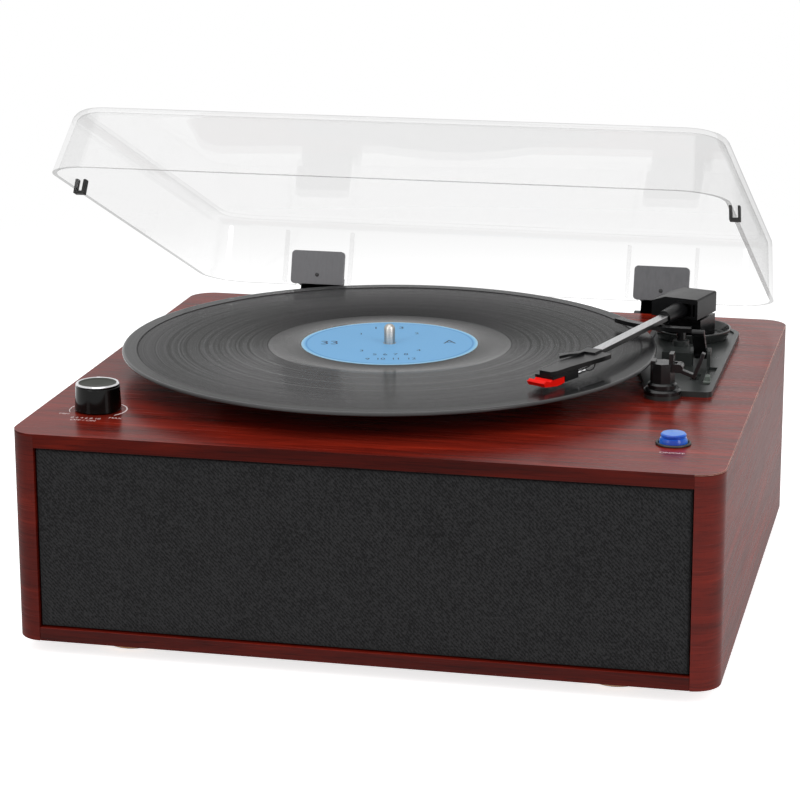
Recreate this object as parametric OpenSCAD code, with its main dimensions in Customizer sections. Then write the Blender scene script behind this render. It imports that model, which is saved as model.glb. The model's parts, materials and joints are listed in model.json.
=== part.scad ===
// Record player in a wooden cabinet with built-in loudspeakers and a clear hinged lid.
// Millimetres, +Z up, the floor at z 0, the front face towards -Y.

/* [Cabinet] */
// Width of the cabinet
cab_w = 375; // [360:1:420]
// Depth of the cabinet
cab_d = 340; // [332:1:380]
// Height of the cabinet without its feet
cab_h = 114; // [100:1:140]
// Radius of the upright corners
corner_r = 14.5; // [8:0.5:20]
// Thickness of the side boards
side_t = 14.5; // [12:0.5:20]
// Thickness of the top and bottom boards
board_t = 7.5; // [6:0.5:12]
// Thickness of the veneered skin that closes the top
skin_t = 1; // [0.5:0.1:2]
// Thickness of the back board
back_t = 6; // [4:0.5:10]
// Depth of the back board behind the cabinet's rear edge
back_inset = 2; // [0:0.5:4]
// Distance from the front face to the origin
origin_back = 182; // [150:1:220]

/* [Feet] */
// Height of a foot
foot_h = 8; // [6:0.5:14]
// Diameter of a foot
foot_d = 38; // [28:1:46]
// Height of the rubber pad under a foot
pad_h = 2; // [1.5:0.25:3]
// Depth of the pad's seat in the foot
pad_seat = 1; // [0.5:0.25:1.25]
// Wall between a pad and the foot's rim
pad_margin = 4; // [3:0.5:6]
// Distance from the cabinet's side to a foot's centre
foot_in_x = 56; // [40:1:80]
// Distance from the front or rear face to a foot's centre
foot_in_y = 34; // [28:1:60]

/* [Grille] */
// Gap round the grille in its opening
grille_gap = 0.8; // [0.4:0.1:2]
// Depth of the cloth behind the front face
grille_recess = 1.5; // [0:0.25:4]
// Thickness of the stretched cloth
cloth_t = 1; // [0.6:0.1:2]
// Thickness of the grille's frame
frame_t = 5; // [3:0.5:8]
// Width of the frame's bars
frame_bar = 10; // [6:1:16]
// Thickness of the board that carries the loudspeakers
baffle_t = 9; // [6:0.5:15]

/* [Loudspeakers] */
// Distance from the middle to each loudspeaker
speaker_x = 108; // [90:1:120]
// Radius of the loudspeaker's hole
speaker_r = 36; // [28:0.5:40]
// Width of the basket's flange outside the hole
flange_w = 5; // [4:0.5:6]
// Thickness of the flange
flange_t = 2.5; // [1.5:0.25:4]
// Depth of the basket behind the flange
basket_depth = 20; // [16:1:30]
// Radius of the magnet
magnet_r = 22; // [16:0.5:26]
// Height of the magnet
magnet_h = 12; // [8:1:16]
// Thickness of the paper cone
cone_t = 1; // [0.8:0.1:1.5]

/* [Platter] */
// Platter's centre, to the right of the middle
platter_x = -22.5; // [-28:0.5:-16]
// Platter's centre, behind the middle of the cabinet
platter_behind = 4.5; // [2:0.5:10]
// Radius of the platter
platter_r = 98; // [92:1:120]
// Gap between the deck and the platter
platter_gap = 2.5; // [1.5:0.25:4]
// Height of the record's upper face above the deck
record_rise = 15; // [13:0.5:18]
// Thickness of the platter's top and of its walls
platter_wall = 2.5; // [2:0.25:3]
// Thickness of the mat
mat_t = 2.5; // [1.5:0.25:4]
// Radius of the record
record_r = 151; // [140:0.5:152]
// Thickness of the record
record_t = 2.2; // [1.8:0.1:2.6]
// Width of the record's smooth rim
record_rim = 8.5; // [4:0.5:10]
// Outer radius of the run-out ring
runout_r = 69; // [60:0.5:75]
// Depth of the grooved face below the rim
groove_drop = 0.3; // [0.1:0.05:0.5]
// Radius of the paper label
label_r = 50; // [40:0.5:55]
// Thickness of the paper label
label_t = 0.2; // [0.15:0.05:0.3]
// Radius of the spindle above the record
spindle_r = 3.1; // [2.8:0.05:3.4]
// Height of the spindle above the record
spindle_up = 11; // [6:0.5:16]
// Step of the spindle's radius where it passes through the record
spindle_step = 0.4; // [0.3:0.05:0.6]
// Step of the spindle's radius in the platter and its bearing
spindle_core = 1; // [0.7:0.05:1.4]
// Radial gap between the spindle and the record's hole
hole_gap = 0.12; // [0.05:0.01:0.3]

/* [Drive] */
// Radial clearance of every running fit
run_gap = 0.05; // [0.02:0.01:0.09]
// Radius of the ring that the belt drives
belt_ring_r = 65; // [55:1:68]
// Height of the belt
belt_h = 3.5; // [2.5:0.25:4]
// Thickness of the belt
belt_t = 1.2; // [0.8:0.1:2]
// Gap between the belt and what it runs on
belt_gap = 0.3; // [0.3:0.05:0.5]
// Radius of the motor pulley
pulley_r = 6; // [4:0.25:8]
// Distance from the spindle to the motor
motor_reach = 81; // [78:0.5:83]
// Bearing of the motor, seen from the spindle
motor_angle = 140; // [120:1:240]
// Radius of the motor
motor_r = 16; // [12:0.5:20]
// Height of the motor
motor_h = 22; // [15:1:30]
// Radius of the motor's shaft
shaft_r = 1; // [0.75:0.05:1.5]
// Wall of the bearing bush
bush_wall = 2; // [1.5:0.25:3]
// Length of the bearing under the deck
bearing_h = 26; // [20:1:40]
// Radius of the bearing's flange
bearing_flange_r = 22; // [18:1:28]
// Thickness of the flanges under the deck
deck_flange_t = 3; // [2:0.5:5]

/* [Tonearm] */
// Arm's pivot, to the right of the platter's centre
pivot_right = 159.5; // [156.5:0.5:162.5]
// Arm's pivot, behind the platter's centre
pivot_behind = 103.5; // [99.5:0.5:105.5]
// Angle of the arm from straight ahead, towards the record
arm_heading = 16; // [12:0.1:20]
// Height of the arm tube above the deck
arm_rise = 22.5; // [22:0.25:26]
// Width of the arm tube
tube_w = 6; // [4:0.25:6.5]
// Height of the arm tube
tube_h = 3; // [2.5:0.25:5]
// Distance from the pivot to the tube's front end
tube_reach = 140; // [138:0.5:150]
// Distance from the tube's end to the stylus
stylus_reach = 57; // [54:0.5:66]
// Angle of the headshell from the tube, towards the record
shell_offset = 10; // [4:0.5:16]
// Sideways step of the headshell from the tube
shell_shift = 5.5; // [3:0.25:7]
// Gap between the stylus and the record
stylus_gap = 0.3; // [0.2:0.05:0.6]
// Width of the arm's rear block at its pivot
block_w = 24; // [22:0.5:28]
// Distance from the arm's line to the block's left side
block_left = 17; // [14:0.5:20]
// Length of the block in front of the pivot
block_front = 22; // [20:0.5:30]
// Length of the block behind the pivot
block_rear = 6; // [5:0.5:10]
// Height of the block
block_h = 12; // [11:0.5:14]
// Wall of the block beside its pivot
block_wall = 4; // [3:0.25:5]
// Radius of the turret's shaft
turret_r = 5; // [4:0.25:6]
// Radius of the pin that the arm tips on
tip_pin_r = 1.5; // [1.2:0.1:2]
// Outer radius of the collar round the turret
collar_r = 22.5; // [22:0.25:23]
// Height of the collar
collar_h = 6; // [4:0.5:7]
// Width of the headshell
shell_w = 13; // [12:0.5:16]
// Thickness of the headshell
shell_t = 2.5; // [2:0.25:3]
// Width of the cartridge
cartridge_w = 12; // [10:0.5:13]
// Length of the cartridge
cartridge_l = 23; // [21:1:30]

/* [Arm plate] */
// Thickness of the arm's base plate
plate_t = 2.25; // [2:0.25:4]
// Height of the rim round the plate
plate_rim_h = 0.9; // [0.5:0.1:2]
// Width of the rim
plate_rim_w = 3; // [2:0.25:4]
// Distance from the pivot to the plate's right edge
plate_right = 26.5; // [26:0.5:30]
// Distance from the pivot to the plate's left edge
plate_left = 25; // [23:0.5:28]
// Distance from the pivot to the plate's rear edge
plate_back = 24; // [24:0.5:28]
// Distance from the pivot to the plate's front edge
plate_front = 130; // [126:0.5:136]
// Distance from the pivot to the place where the plate narrows
plate_waist = 58; // [50:1:66]
// Distance from the pivot to the arm rest
rest_reach = 132; // [128:0.5:135]
// Radius of the arm rest's base
rest_r = 10.2; // [9.8:0.2:12]
// Clearance between the parked tube and the rest's prong
rest_gap = 0.7; // [0.4:0.1:1.2]
// Radius of the lift bar, about the pivot
lift_reach = 54; // [50:0.5:60]
// Gap between the lift bar and the tube
lift_gap = 0.6; // [0.4:0.1:1.5]
// Radius of the lift post
lift_r = 2.5; // [2:0.1:3]
// Width of the cue lever
lever_w = 7; // [5:0.5:8]
// Length of the cue lever
lever_l = 22; // [16:1:26]
// Angle of the cue lever above level, at rest
lever_tilt = 45; // [35:1:60]
// Length of the speed slider's recess
speed_slot = 40; // [36:1:44]
// Travel of the speed slider
speed_travel = 16; // [10:1:20]
// Length of the stop slider's recess
stop_slot = 14; // [13.5:0.5:18]
// Travel of the stop slider
stop_travel = 7; // [4:0.5:8]

/* [Controls] */
// Distance from the cabinet's side to the knob and to the button
control_in = 32.2; // [27.5:0.1:37.5]
// Distance from the front face to the knob and the button
control_front = 54; // [48:0.5:60]
// Radius of the knob's foot
knob_r = 12.6; // [11:0.1:14]
// Radius of the knob's head
knob_top_r = 11.7; // [10:0.1:12.5]
// Height of the knob
knob_h = 15; // [10:0.5:18]
// Gap between the knob and the deck
knob_gap = 0.4; // [0.3:0.1:1]
// Width of the silver ring on the knob
ring_w = 1.5; // [1:0.1:2]
// Depth of the silver ring
ring_h = 1.8; // [1:0.1:3]
// Radius of the knob's stem
stem_r = 3; // [2.5:0.1:3.5]
// Radius of the button's foot
button_r = 7.3; // [6:0.1:8]
// Radius of the button's top
button_top_r = 6.6; // [5:0.1:7]
// Height of the button above the deck
button_up = 6; // [4:0.5:8]
// Travel of the button
button_travel = 2.5; // [1:0.25:3]
// Outer radius of the button's bezel
bezel_r = 9.25; // [8.5:0.05:11]
// Height of the bezel above the deck
bezel_h = 1.4; // [1:0.1:2]

/* [Lid] */
// Distance from the cabinet's side to the lid's rim
lid_side_gap = 7.5; // [2:0.5:15]
// Distance from the cabinet's rear edge to the lid's rim behind it
lid_over = 2; // [0:0.5:4]
// Height of the lid at the front
lid_front_h = 37.5; // [36:0.5:46]
// Height of the lid at the rear
lid_rear_h = 41.5; // [40:0.5:50]
// Thickness of the lid's walls
lid_wall = 2.5; // [2:0.1:3]
// Radius of the rim's corners
lid_corner_r = 26; // [20:1:34]
// Radius of the lid's upper edges
lid_top_r = 8; // [5:0.5:12]
// Lean of the lid's sides
side_lean = 3; // [2:0.25:6]
// Lean of the lid's front
front_lean = 16; // [8:0.5:18]
// Lean of the lid's rear
rear_lean = 4; // [2:0.25:6]
// Distance from the cabinet's front face to the closed lid
lid_front_gap = 12; // [8:0.5:14]
// Gap between the closed lid's rim and the deck
rim_gap = 1.6; // [1.2:0.1:3]
// Angle that the lid stands open
lid_open = 22.9; // [15:0.1:40]
// Length of a rubber bumper on the rim
bumper_l = 5; // [4:0.5:10]
// Height of a bumper's sides on the lid's wall
bumper_h = 6.5; // [5:0.5:10]
// Distance from the lid's front edge to a bumper
bumper_in = 64; // [50:1:100]

/* [Hinges] */
// Distance from the middle to each hinge
hinge_x = 109; // [90:1:120]
// Distance from the cabinet's rear edge to the pin
hinge_back = 15; // [14:0.25:18]
// Drop of the pin below the deck's upper face
hinge_drop = 8; // [7:0.25:9]
// Radius of a hinge pin
hinge_pin_r = 2.5; // [2:0.1:3]
// Radius of the hinge's knuckle
knuckle_r = 5.5; // [5:0.1:6]
// Width of the leaf's knuckle
knuckle_w = 27; // [22:0.5:30]
// Thickness of the bracket's ears
ear_t = 4; // [3:0.25:5]
// Gap between the knuckle and an ear
ear_gap = 0.3; // [0.3:0.05:0.6]
// Width of the plate inside the lid
leaf_w = 34; // [30:0.5:40]
// Height of the plate inside the lid
leaf_h = 21; // [16:0.5:26]
// Thickness of the plate inside the lid
leaf_t = 3; // [2:0.25:4]
// Gap between the plate and the lid's wall
leaf_gap = 0.2; // [0.1:0.05:0.3]

/* [Back] */
// Width of the circuit board
circuit_w = 100; // [80:1:120]
// Depth of the circuit board
circuit_d = 64; // [50:1:80]
// Circuit board, to the right of the middle
circuit_x = 70; // [50:1:90]
// Distance from the cabinet's rear edge to the circuit board's centre
circuit_back = 90; // [60:1:120]
// Distance from the back board's edges to its screws
back_screw_in = 9; // [7:0.5:14]
// Radius of a phono socket's barrel
phono_r = 4.15; // [4:0.05:4.3]
// Length of a phono socket's barrel
phono_l = 8; // [6:0.5:10]
// Distance between the two phono sockets
phono_pitch = 14; // [12:0.5:20]
// Phono sockets, to the right of the middle
phono_x = -60; // [-80:1:-40]
// Power inlet, to the right of the middle
inlet_x = 60; // [40:1:80]
// Height of the sockets above the floor
socket_z = 45; // [35:1:60]
// Radius of the power inlet's bore
inlet_r = 2.75; // [2.5:0.05:3.2]
// Radius of a screw's head
screw_head_r = 3; // [2.5:0.1:3.5]
// Radius of a screw's shank
screw_r = 1.4; // [1:0.1:1.6]

/* [Hidden] */
$fn = 64;
eps = 0.01;

function back(distance) = distance - origin_back;

deck_z = foot_h + cab_h;
deck_under = deck_z - board_t;
floor_z = foot_h + board_t;
inner_w = cab_w - 2 * side_t;
inner_h = deck_under - floor_z;
mid_z = (deck_under + floor_z) / 2;
back_face = back(cab_d - back_inset);

cloth_y = back(grille_recess);
frame_y = cloth_y + cloth_t;
baffle_y = frame_y + frame_t;
speaker_y = baffle_y + baffle_t;
grille_w = inner_w - 2 * grille_gap;
grille_h = inner_h - 2 * grille_gap;
surround_w = 3;
cap_r = 11;
cone_drop = 7;
basket_wall = 1.5;
basket_throat = magnet_r - 4;

platter_at = [platter_x, back(cab_d / 2 + platter_behind)];
record_z = deck_z + record_rise;
record_under = record_z - record_t;
mat_under = record_under - mat_t;
platter_under = deck_z + platter_gap;
hub_r = 12;
core_r = spindle_r + spindle_core;
hole_r = spindle_r + spindle_step + hole_gap;
bush_r = core_r + run_gap + bush_wall;
bearing_r = bush_r + 3.5;
bearing_low = deck_under - bearing_h;
bearing_hole_r = bush_r + 1;
motor_at = platter_at + motor_reach * [cos(motor_angle), sin(motor_angle)];
belt_z = platter_under + 1;
pulley_hole_r = pulley_r + 3;
motor_flange_r = motor_r + 7;

pivot_at = platter_at + [pivot_right, pivot_behind];
arm_z = deck_z + arm_rise;
plate_z = deck_z + plate_t;
plate_nose = 10;
rear_r = 16;
front_r = 4;
collar_floor = 1.2;
boss_r = turret_r + 3;
boss_low = deck_under - 10;
block_low = arm_z + 7.4 - block_h;
block_top = block_low + block_h;
turret_top = block_low - 1.5;
post_half = block_w / 2 - block_wall - 1;
sleeve_r = 4.5;
pocket_d = 5;
sleeve_front = block_front + 21;
shell_z = arm_z - 1;
shell_rear = tube_reach - 3;
shell_front = stylus_reach - 2;
shell_waist = 30;
terminal_r = 0.55;
terminal_l = 7;
needle_z = record_z + stylus_gap;
stylus_low = needle_z + 0.4;
stylus_top = stylus_low + 4.2;
cartridge_rear = shell_front - cartridge_l;
stylus_rear = cartridge_rear + 12;
tube_low = arm_z - tube_h / 2;

rest_at = pivot_at - [0, rest_reach];
rest_top = tube_low - 1.6;
rest_step = 6.2;
prong_x = tube_w / 2 + rest_gap;
prong_t = 2.4;
prong_top = arm_z + 2.4;
clip_pin_r = 1.2;
clip_r = 2.4;
clip_at = [prong_x + prong_t + 0.4 + clip_r, rest_top - clip_r];
clip_w = 4;
clip_gap = 0.3;
clip_open = 110;
clip_bar = 2;

lift_over = 6;
lift_top = tube_low - lift_gap;
lift_bar_h = 2.5;
lift_bar_w = 5;
lift_at = pivot_at - [0, lift_reach];
lift_tube_r = lift_r + 2.2;
lift_tube_top = plate_z + 10.75;
lift_low = deck_under - 6;
lever_right = 13;
lever_ahead = 67;
lever_at = pivot_at + [lever_right, -lever_ahead];
cue_house = [17, 22, 7.75];
lever_z = plate_z + 6.75;
lever_pin_r = 1.5;
lever_ear_t = 2;
lever_gap = 0.3;

slider_wall = 0.6;
slot_depth = plate_t - 0.85;
slot_w = 5.4;
speed_ahead = 91;
speed_at = [pivot_at.x + plate_right - plate_rim_w - slot_w / 2, pivot_at.y - speed_ahead];
speed_l = 9;
stop_at = [speed_at.x - slot_w - 2, speed_at.y - 4];
stop_l = 6;

control_x = cab_w / 2 - control_in;
knob_at = [-control_x, back(control_front)];
button_at = [control_x, back(control_front)];
knob_low = deck_z + knob_gap;
knob_top = knob_low + knob_h;
dish_depth = 1;
pot_bush_r = stem_r + run_gap + 1.5;
pot_h = 9;
pot_r = 9;
button_gap = 0.4;
groove_low = 2.6;
bezel_tube_r = button_r + button_gap + 1.2;
button_low = deck_z - 2.5;
plunger_r = 2;
switch_w = 15;
switch_h = 11;

lid_z = deck_z + rim_gap;
lid_w = cab_w - 2 * lid_side_gap;
lid_d = cab_d + lid_over - lid_front_gap;
lid_front_y = back(lid_front_gap);
lid_rear_y = lid_front_y + lid_d;
lid_mid_y = lid_front_y + lid_d / 2;
hinge_y = back(cab_d + hinge_back);
hinge_z = deck_z - hinge_drop;
lean_angle = atan(rear_lean / (lid_rear_h - lid_top_r));
notch_h = 8.5;
notch_side = 1;
leg_low = lid_z + 1;
leg_high = lid_z + 7;
bracket_w = knuckle_w + 2 * (ear_gap + ear_t);
bracket_t = 3;
bracket_high = deck_under - 2.5;
bracket_h = 38;
bracket_low = bracket_high - bracket_h;
bracket_ear_h = 26;
hinge_screw_in = 6;
hinge_screw_z = [bracket_low + hinge_screw_in, bracket_low + 3 * hinge_screw_in];
rib_t = 2;
rib_x = leaf_w / 2 + 3 + rib_t / 2;
rib_foot = 5;
rib_head = 3;
rib_low = 1;

circuit_t = 1.6;
circuit_leg = 6;
socket_edge = 11;
socket_plate = [phono_pitch + 2 * socket_edge, 18];
socket_body = [phono_pitch + 16, 13];
body_gap = 0.2;
socket_t = 2;
inlet_flange_r = inlet_r + 4.5;
inlet_body_r = inlet_r + 2.5;
inlet_depth = 9;
pin_r = 1;
screw_l = 9;
screw_head_h = 2;
back_screw_x = inner_w / 2 - back_screw_in;
back_screw_z = [floor_z + back_screw_in, mid_z, deck_under - back_screw_in];

// Shapes that several pieces share

module rounded_rect(w, d, r) {
    square([w - 2 * r, d], center = true);
    square([w, d - 2 * r], center = true);
    for (x = [-1, 1], y = [-1, 1])
        translate([x * (w / 2 - r), y * (d / 2 - r)])
            circle(r);
}

module cabinet_plan() {
    translate([0, back(cab_d / 2)])
        rounded_rect(cab_w, cab_d, corner_r);
}

// A board with the cabinet's outline, cut to fit between the side boards.
module fitted_board(z, t) {
    translate([0, 0, z])
        linear_extrude(t)
            intersection() {
                cabinet_plan();
                translate([0, back(cab_d / 2)])
                    square([inner_w, cab_d], center = true);
            }
}

module upright(at, z, h, r) {
    translate([at.x, at.y, z])
        cylinder(h = h, r = r);
}

module deck_hole(at, r) {
    upright(at, deck_under - 1, board_t + 2, r);
}

// Turned profile, drawn as radius and height, on an upright axis.
module turned(at, z, points) {
    translate([at.x, at.y, z])
        rotate_extrude()
            polygon(points);
}

// Places a shape along the arm: -Y forward from the pivot, +X to its right.
module on_arm() {
    translate([pivot_at.x, pivot_at.y, 0])
        rotate([0, 0, -arm_heading])
            children();
}

// Places a shape along the headshell: -Y forward from the tube's end.
module on_shell() {
    on_arm()
        translate([shell_shift, -shell_rear, 0])
            rotate([0, 0, -shell_offset])
                children();
}

// Places a shape drawn with its +Z pointing backwards.
module facing_back(x, y, z) {
    translate([x, y, z])
        rotate([-90, 0, 0])
            children();
}

// Screw with its head's underside at z 0 and its shank going up.
module screw(l) {
    translate([0, 0, -screw_head_h])
        cylinder(h = screw_head_h, r = screw_head_r);
    cylinder(h = l, r = screw_r);
}

module screw_hole(l) {
    translate([0, 0, -eps])
        cylinder(h = l + 1, r = screw_r);
}

// Turns a shape of the closed lid to the angle that the lid stands open.
module opened() {
    translate([0, hinge_y, hinge_z])
        rotate([-lid_open, 0, 0])
            translate([0, -hinge_y, -hinge_z])
                children();
}

// Cabinet

module deck_panel() {
    color("#6d2a20")
        difference() {
            union() {
                fitted_board(deck_under, board_t);
                translate([0, 0, deck_z - skin_t])
                    linear_extrude(skin_t)
                        cabinet_plan();
            }
            deck_hole(platter_at, bearing_hole_r);
            deck_hole(motor_at, pulley_hole_r);
            deck_hole(pivot_at, boss_r);
            deck_hole(lift_at, lift_tube_r);
            deck_hole(knob_at, pot_bush_r);
            deck_hole(button_at, bezel_tube_r);
            under_deck_screws()
                screw_hole(screw_l - deck_flange_t);
        }
}

module side_panel(side) {
    color("#7a3024")
        translate([0, 0, foot_h])
            linear_extrude(cab_h - skin_t)
                intersection() {
                    cabinet_plan();
                    translate([side * (cab_w - side_t) / 2, back(cab_d / 2)])
                        square([side_t, cab_d], center = true);
                }
}

module bottom_panel() {
    color("#5c231b")
        fitted_board(foot_h, board_t);
}

module back_panel() {
    color("#2b2422")
        difference() {
            translate([-inner_w / 2, back_face - back_t, floor_z])
                cube([inner_w, back_t, inner_h]);
            translate([phono_x, back_face - back_t / 2, socket_z])
                cube([socket_body.x + 2 * body_gap, back_t + 2, socket_body.y + 2 * body_gap],
                    center = true);
            facing_back(inlet_x, back_face - back_t - 1, socket_z)
                cylinder(h = back_t + 2, r = inlet_body_r + body_gap);
            back_screws()
                screw_hole(back_t);
            hinge_screws()
                screw_hole(screw_l);
        }
}

module baffle_board() {
    color("#3a332f")
        difference() {
            translate([-inner_w / 2, baffle_y, floor_z])
                cube([inner_w, baffle_t, inner_h]);
            for (side = [-1, 1])
                facing_back(side * speaker_x, baffle_y - 1, mid_z)
                    cylinder(h = baffle_t + 2, r = speaker_r);
        }
}

module grille_frame() {
    window = [(grille_w - 3 * frame_bar) / 2, grille_h - 2 * frame_bar];
    color("#1c1c1c")
        difference() {
            translate([-grille_w / 2, frame_y, mid_z - grille_h / 2])
                cube([grille_w, frame_t, grille_h]);
            for (side = [-1, 1])
                translate([side * (window.x + frame_bar) / 2, frame_y + frame_t / 2, mid_z])
                    cube([window.x, frame_t + 2, window.y], center = true);
        }
}

module grille_cloth() {
    color("#262728")
        translate([-grille_w / 2, cloth_y, mid_z - grille_h / 2])
            cube([grille_w, cloth_t, grille_h]);
}

module feet() {
    rim = foot_d / 2;
    seat = rim - pad_margin;
    low = pad_h - pad_seat;
    color("#c9ab7c")
        for (x = [-1, 1], y = [foot_in_y, cab_d - foot_in_y])
            turned([x * (cab_w / 2 - foot_in_x), back(y)], 0, [
                [0, foot_h], [rim, foot_h], [rim, low + 2], [rim - 2, low], [seat, low], [seat, pad_h],
                [0, pad_h]
            ]);
}

module foot_pads() {
    color("#2a2a2a")
        for (x = [-1, 1], y = [foot_in_y, cab_d - foot_in_y])
            upright([x * (cab_w / 2 - foot_in_x), back(y)], 0, pad_h, foot_d / 2 - pad_margin - body_gap);
}

// Loudspeakers, turned about an axis that runs backwards from the baffle's rear face

module speaker_basket(side) {
    windows = 6;
    rim_r = speaker_r + basket_wall;
    neck_r = basket_throat + basket_wall;
    low = basket_depth - basket_wall;
    color("#3b3d40")
        facing_back(side * speaker_x, speaker_y, mid_z)
            difference() {
                rotate_extrude()
                    polygon([
                        [speaker_r - surround_w, 0], [speaker_r + flange_w, 0],
                        [speaker_r + flange_w, flange_t],
                        [rim_r, flange_t], [neck_r, low], [neck_r, basket_depth], [0, basket_depth],
                        [0, low],
                        [basket_throat, low], [speaker_r - surround_w, flange_t]
                    ]);
                for (k = [0 : windows - 1])
                    rotate([0, 0, (k + 0.5) * 360 / windows])
                        translate([basket_throat, -speaker_r / 5, 2 * flange_t])
                            cube([speaker_r, speaker_r * 2 / 5, low - 3 * flange_t]);
            }
}

module speaker_cone(side) {
    depth = basket_depth - cone_drop;
    inner = speaker_r - surround_w - cone_t;
    outer = speaker_r - body_gap;
    dome = 3 * cone_t;
    color("#17181a")
        facing_back(side * speaker_x, speaker_y, mid_z)
            rotate_extrude()
                polygon([
                    [outer, 0], [outer, -cone_t], [outer - cone_t, -2 * cone_t],
                    [inner + cone_t / 2, -2 * cone_t],
                    [inner - cone_t, -cone_t], [cap_r, depth - cone_t], [cap_r * 0.7, depth - dome],
                    [0, depth - dome - cone_t], [0, depth - dome], [cap_r * 0.65, depth - dome + cone_t],
                    [cap_r, depth], [inner, 0]
                ]);
}

module speaker_magnet(side) {
    color("#55585c")
        facing_back(side * speaker_x, speaker_y + basket_depth, mid_z)
            cylinder(h = magnet_h, r = magnet_r);
}

// Fasteners

module back_screws() {
    for (x = [-1, 1], z = back_screw_z)
        translate([x * back_screw_x, back_face, z])
            rotate([90, 0, 0])
                children();
}

module hinge_screws() {
    for (side = [-1, 1], z = hinge_screw_z)
        translate([side * hinge_x, back_face + bracket_t, z])
            rotate([90, 0, 0])
                children();
}

module panel_screws() {
    color("#4a4a4d") {
        back_screws()
            screw(back_t);
        hinge_screws()
            screw(screw_l);
    }
}

module under_deck_screws() {
    for (a = [30, 150, 270])
        translate([platter_at.x, platter_at.y, deck_under - deck_flange_t])
            rotate([0, 0, a])
                translate([bearing_flange_r - 5, 0, 0])
                    children();
    for (a = [0, 180])
        translate([motor_at.x, motor_at.y, deck_under - deck_flange_t])
            rotate([0, 0, motor_angle + 90 + a])
                translate([motor_flange_r - 4, 0, 0])
                    children();
}

module deck_screws() {
    color("#8d8f92")
        under_deck_screws()
            screw(screw_l - deck_flange_t + 1);
}

// Electrical pieces

module circuit_board() {
    size = [circuit_w, circuit_d, circuit_t];
    can_r = circuit_w / 17;
    color("#1f5a36")
        translate([circuit_x, back(cab_d - circuit_back), floor_z]) {
            translate([0, 0, circuit_leg + size.z / 2])
                cube(size, center = true);
            for (x = [-1, 1], y = [-1, 1])
                translate([x * (size.x / 2 - can_r), y * (size.y / 2 - can_r), 0])
                    cylinder(h = circuit_leg, r = can_r / 2);
            for (k = [-2, -1, 0])
                translate([k * 2.7 * can_r, size.y / 5, circuit_leg + size.z])
                    cylinder(h = 2.4 * can_r, r = can_r);
            translate([size.x / 4, -size.y / 4, circuit_leg + size.z])
                cube([2.7 * can_r, 2 * can_r, 3 * can_r]);
        }
}

module phono_sockets() {
    color("#202020")
        difference() {
            union() {
                translate([phono_x, back_face + socket_t / 2, socket_z])
                    cube([socket_plate.x, socket_t, socket_plate.y], center = true);
                translate([phono_x, back_face - back_t / 2, socket_z])
                    cube([socket_body.x, back_t + eps, socket_body.y], center = true);
                for (side = [-1, 1])
                    facing_back(phono_x + side * phono_pitch / 2, back_face + socket_t, socket_z)
                        cylinder(h = phono_l, r = phono_r);
            }
            for (side = [-1, 1])
                facing_back(phono_x + side * phono_pitch / 2, back_face + socket_t, socket_z)
                    cylinder(h = phono_l + 1, r = phono_r - 2.5);
        }
}

module power_inlet() {
    color("#1a1a1a") {
        difference() {
            union() {
                facing_back(inlet_x, back_face, socket_z)
                    cylinder(h = socket_t, r = inlet_flange_r);
                facing_back(inlet_x, back_face - back_t - 4, socket_z)
                    cylinder(h = back_t + 4, r = inlet_body_r);
            }
            facing_back(inlet_x, back_face + socket_t - inlet_depth, socket_z)
                cylinder(h = inlet_depth + 1, r = inlet_r);
        }
        facing_back(inlet_x, back_face + socket_t - inlet_depth, socket_z)
            cylinder(h = inlet_depth - 1, r = pin_r);
    }
}

// Drive

module bearing_housing() {
    cup = 3;
    color("#2e2f31")
        difference() {
            union() {
                upright(platter_at, deck_under - deck_flange_t, deck_flange_t, bearing_flange_r);
                upright(platter_at, bearing_low - cup, bearing_h + cup, bearing_r);
            }
            upright(platter_at, bearing_low, bearing_h + 1, bush_r);
            under_deck_screws()
                screw_hole(deck_flange_t);
        }
}

module bearing_bush() {
    color("#b08d45")
        difference() {
            upright(platter_at, bearing_low, bearing_h + board_t, bush_r);
            upright(platter_at, bearing_low - 1, bearing_h + board_t + 2, core_r + run_gap);
        }
}

module motor() {
    color("#9a9da1")
        difference() {
            union() {
                upright(motor_at, deck_under - deck_flange_t, deck_flange_t, motor_flange_r);
                upright(motor_at, deck_under - motor_h, motor_h, motor_r);
                upright(motor_at, deck_under, 2, shaft_r + 2.5);
            }
            upright(motor_at, deck_under - motor_h / 2, motor_h, shaft_r + run_gap);
            under_deck_screws()
                screw_hole(deck_flange_t);
        }
}

module motor_shaft() {
    color("#c6c8ca")
        upright(motor_at, deck_under - motor_h / 2, belt_z + belt_h - deck_under + motor_h / 2, shaft_r);
}

module motor_pulley() {
    lip = 0.8;
    low = belt_z - lip;
    high = belt_z + belt_h + lip;
    color("#d9c58a")
        difference() {
            turned(motor_at, 0, [
                [0, low], [pulley_r + lip, low], [pulley_r + lip, belt_z - lip / 2], [pulley_r, belt_z],
                [pulley_r, belt_z + belt_h], [pulley_r + lip, high - lip / 2], [pulley_r + lip, high],
                [0, high]
            ]);
            upright(motor_at, low - 1, belt_z + belt_h - low + 1, shaft_r);
        }
}

module belt_loop(ring, wheel) {
    hull() {
        translate(platter_at)
            circle(ring);
        translate(motor_at)
            circle(wheel);
    }
}

module drive_belt() {
    color("#141414")
        translate([0, 0, belt_z])
            linear_extrude(belt_h)
                difference() {
                    belt_loop(belt_ring_r + belt_gap + belt_t, pulley_r + belt_gap + belt_t);
                    belt_loop(belt_ring_r + belt_gap, pulley_r + belt_gap);
                }
}

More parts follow.
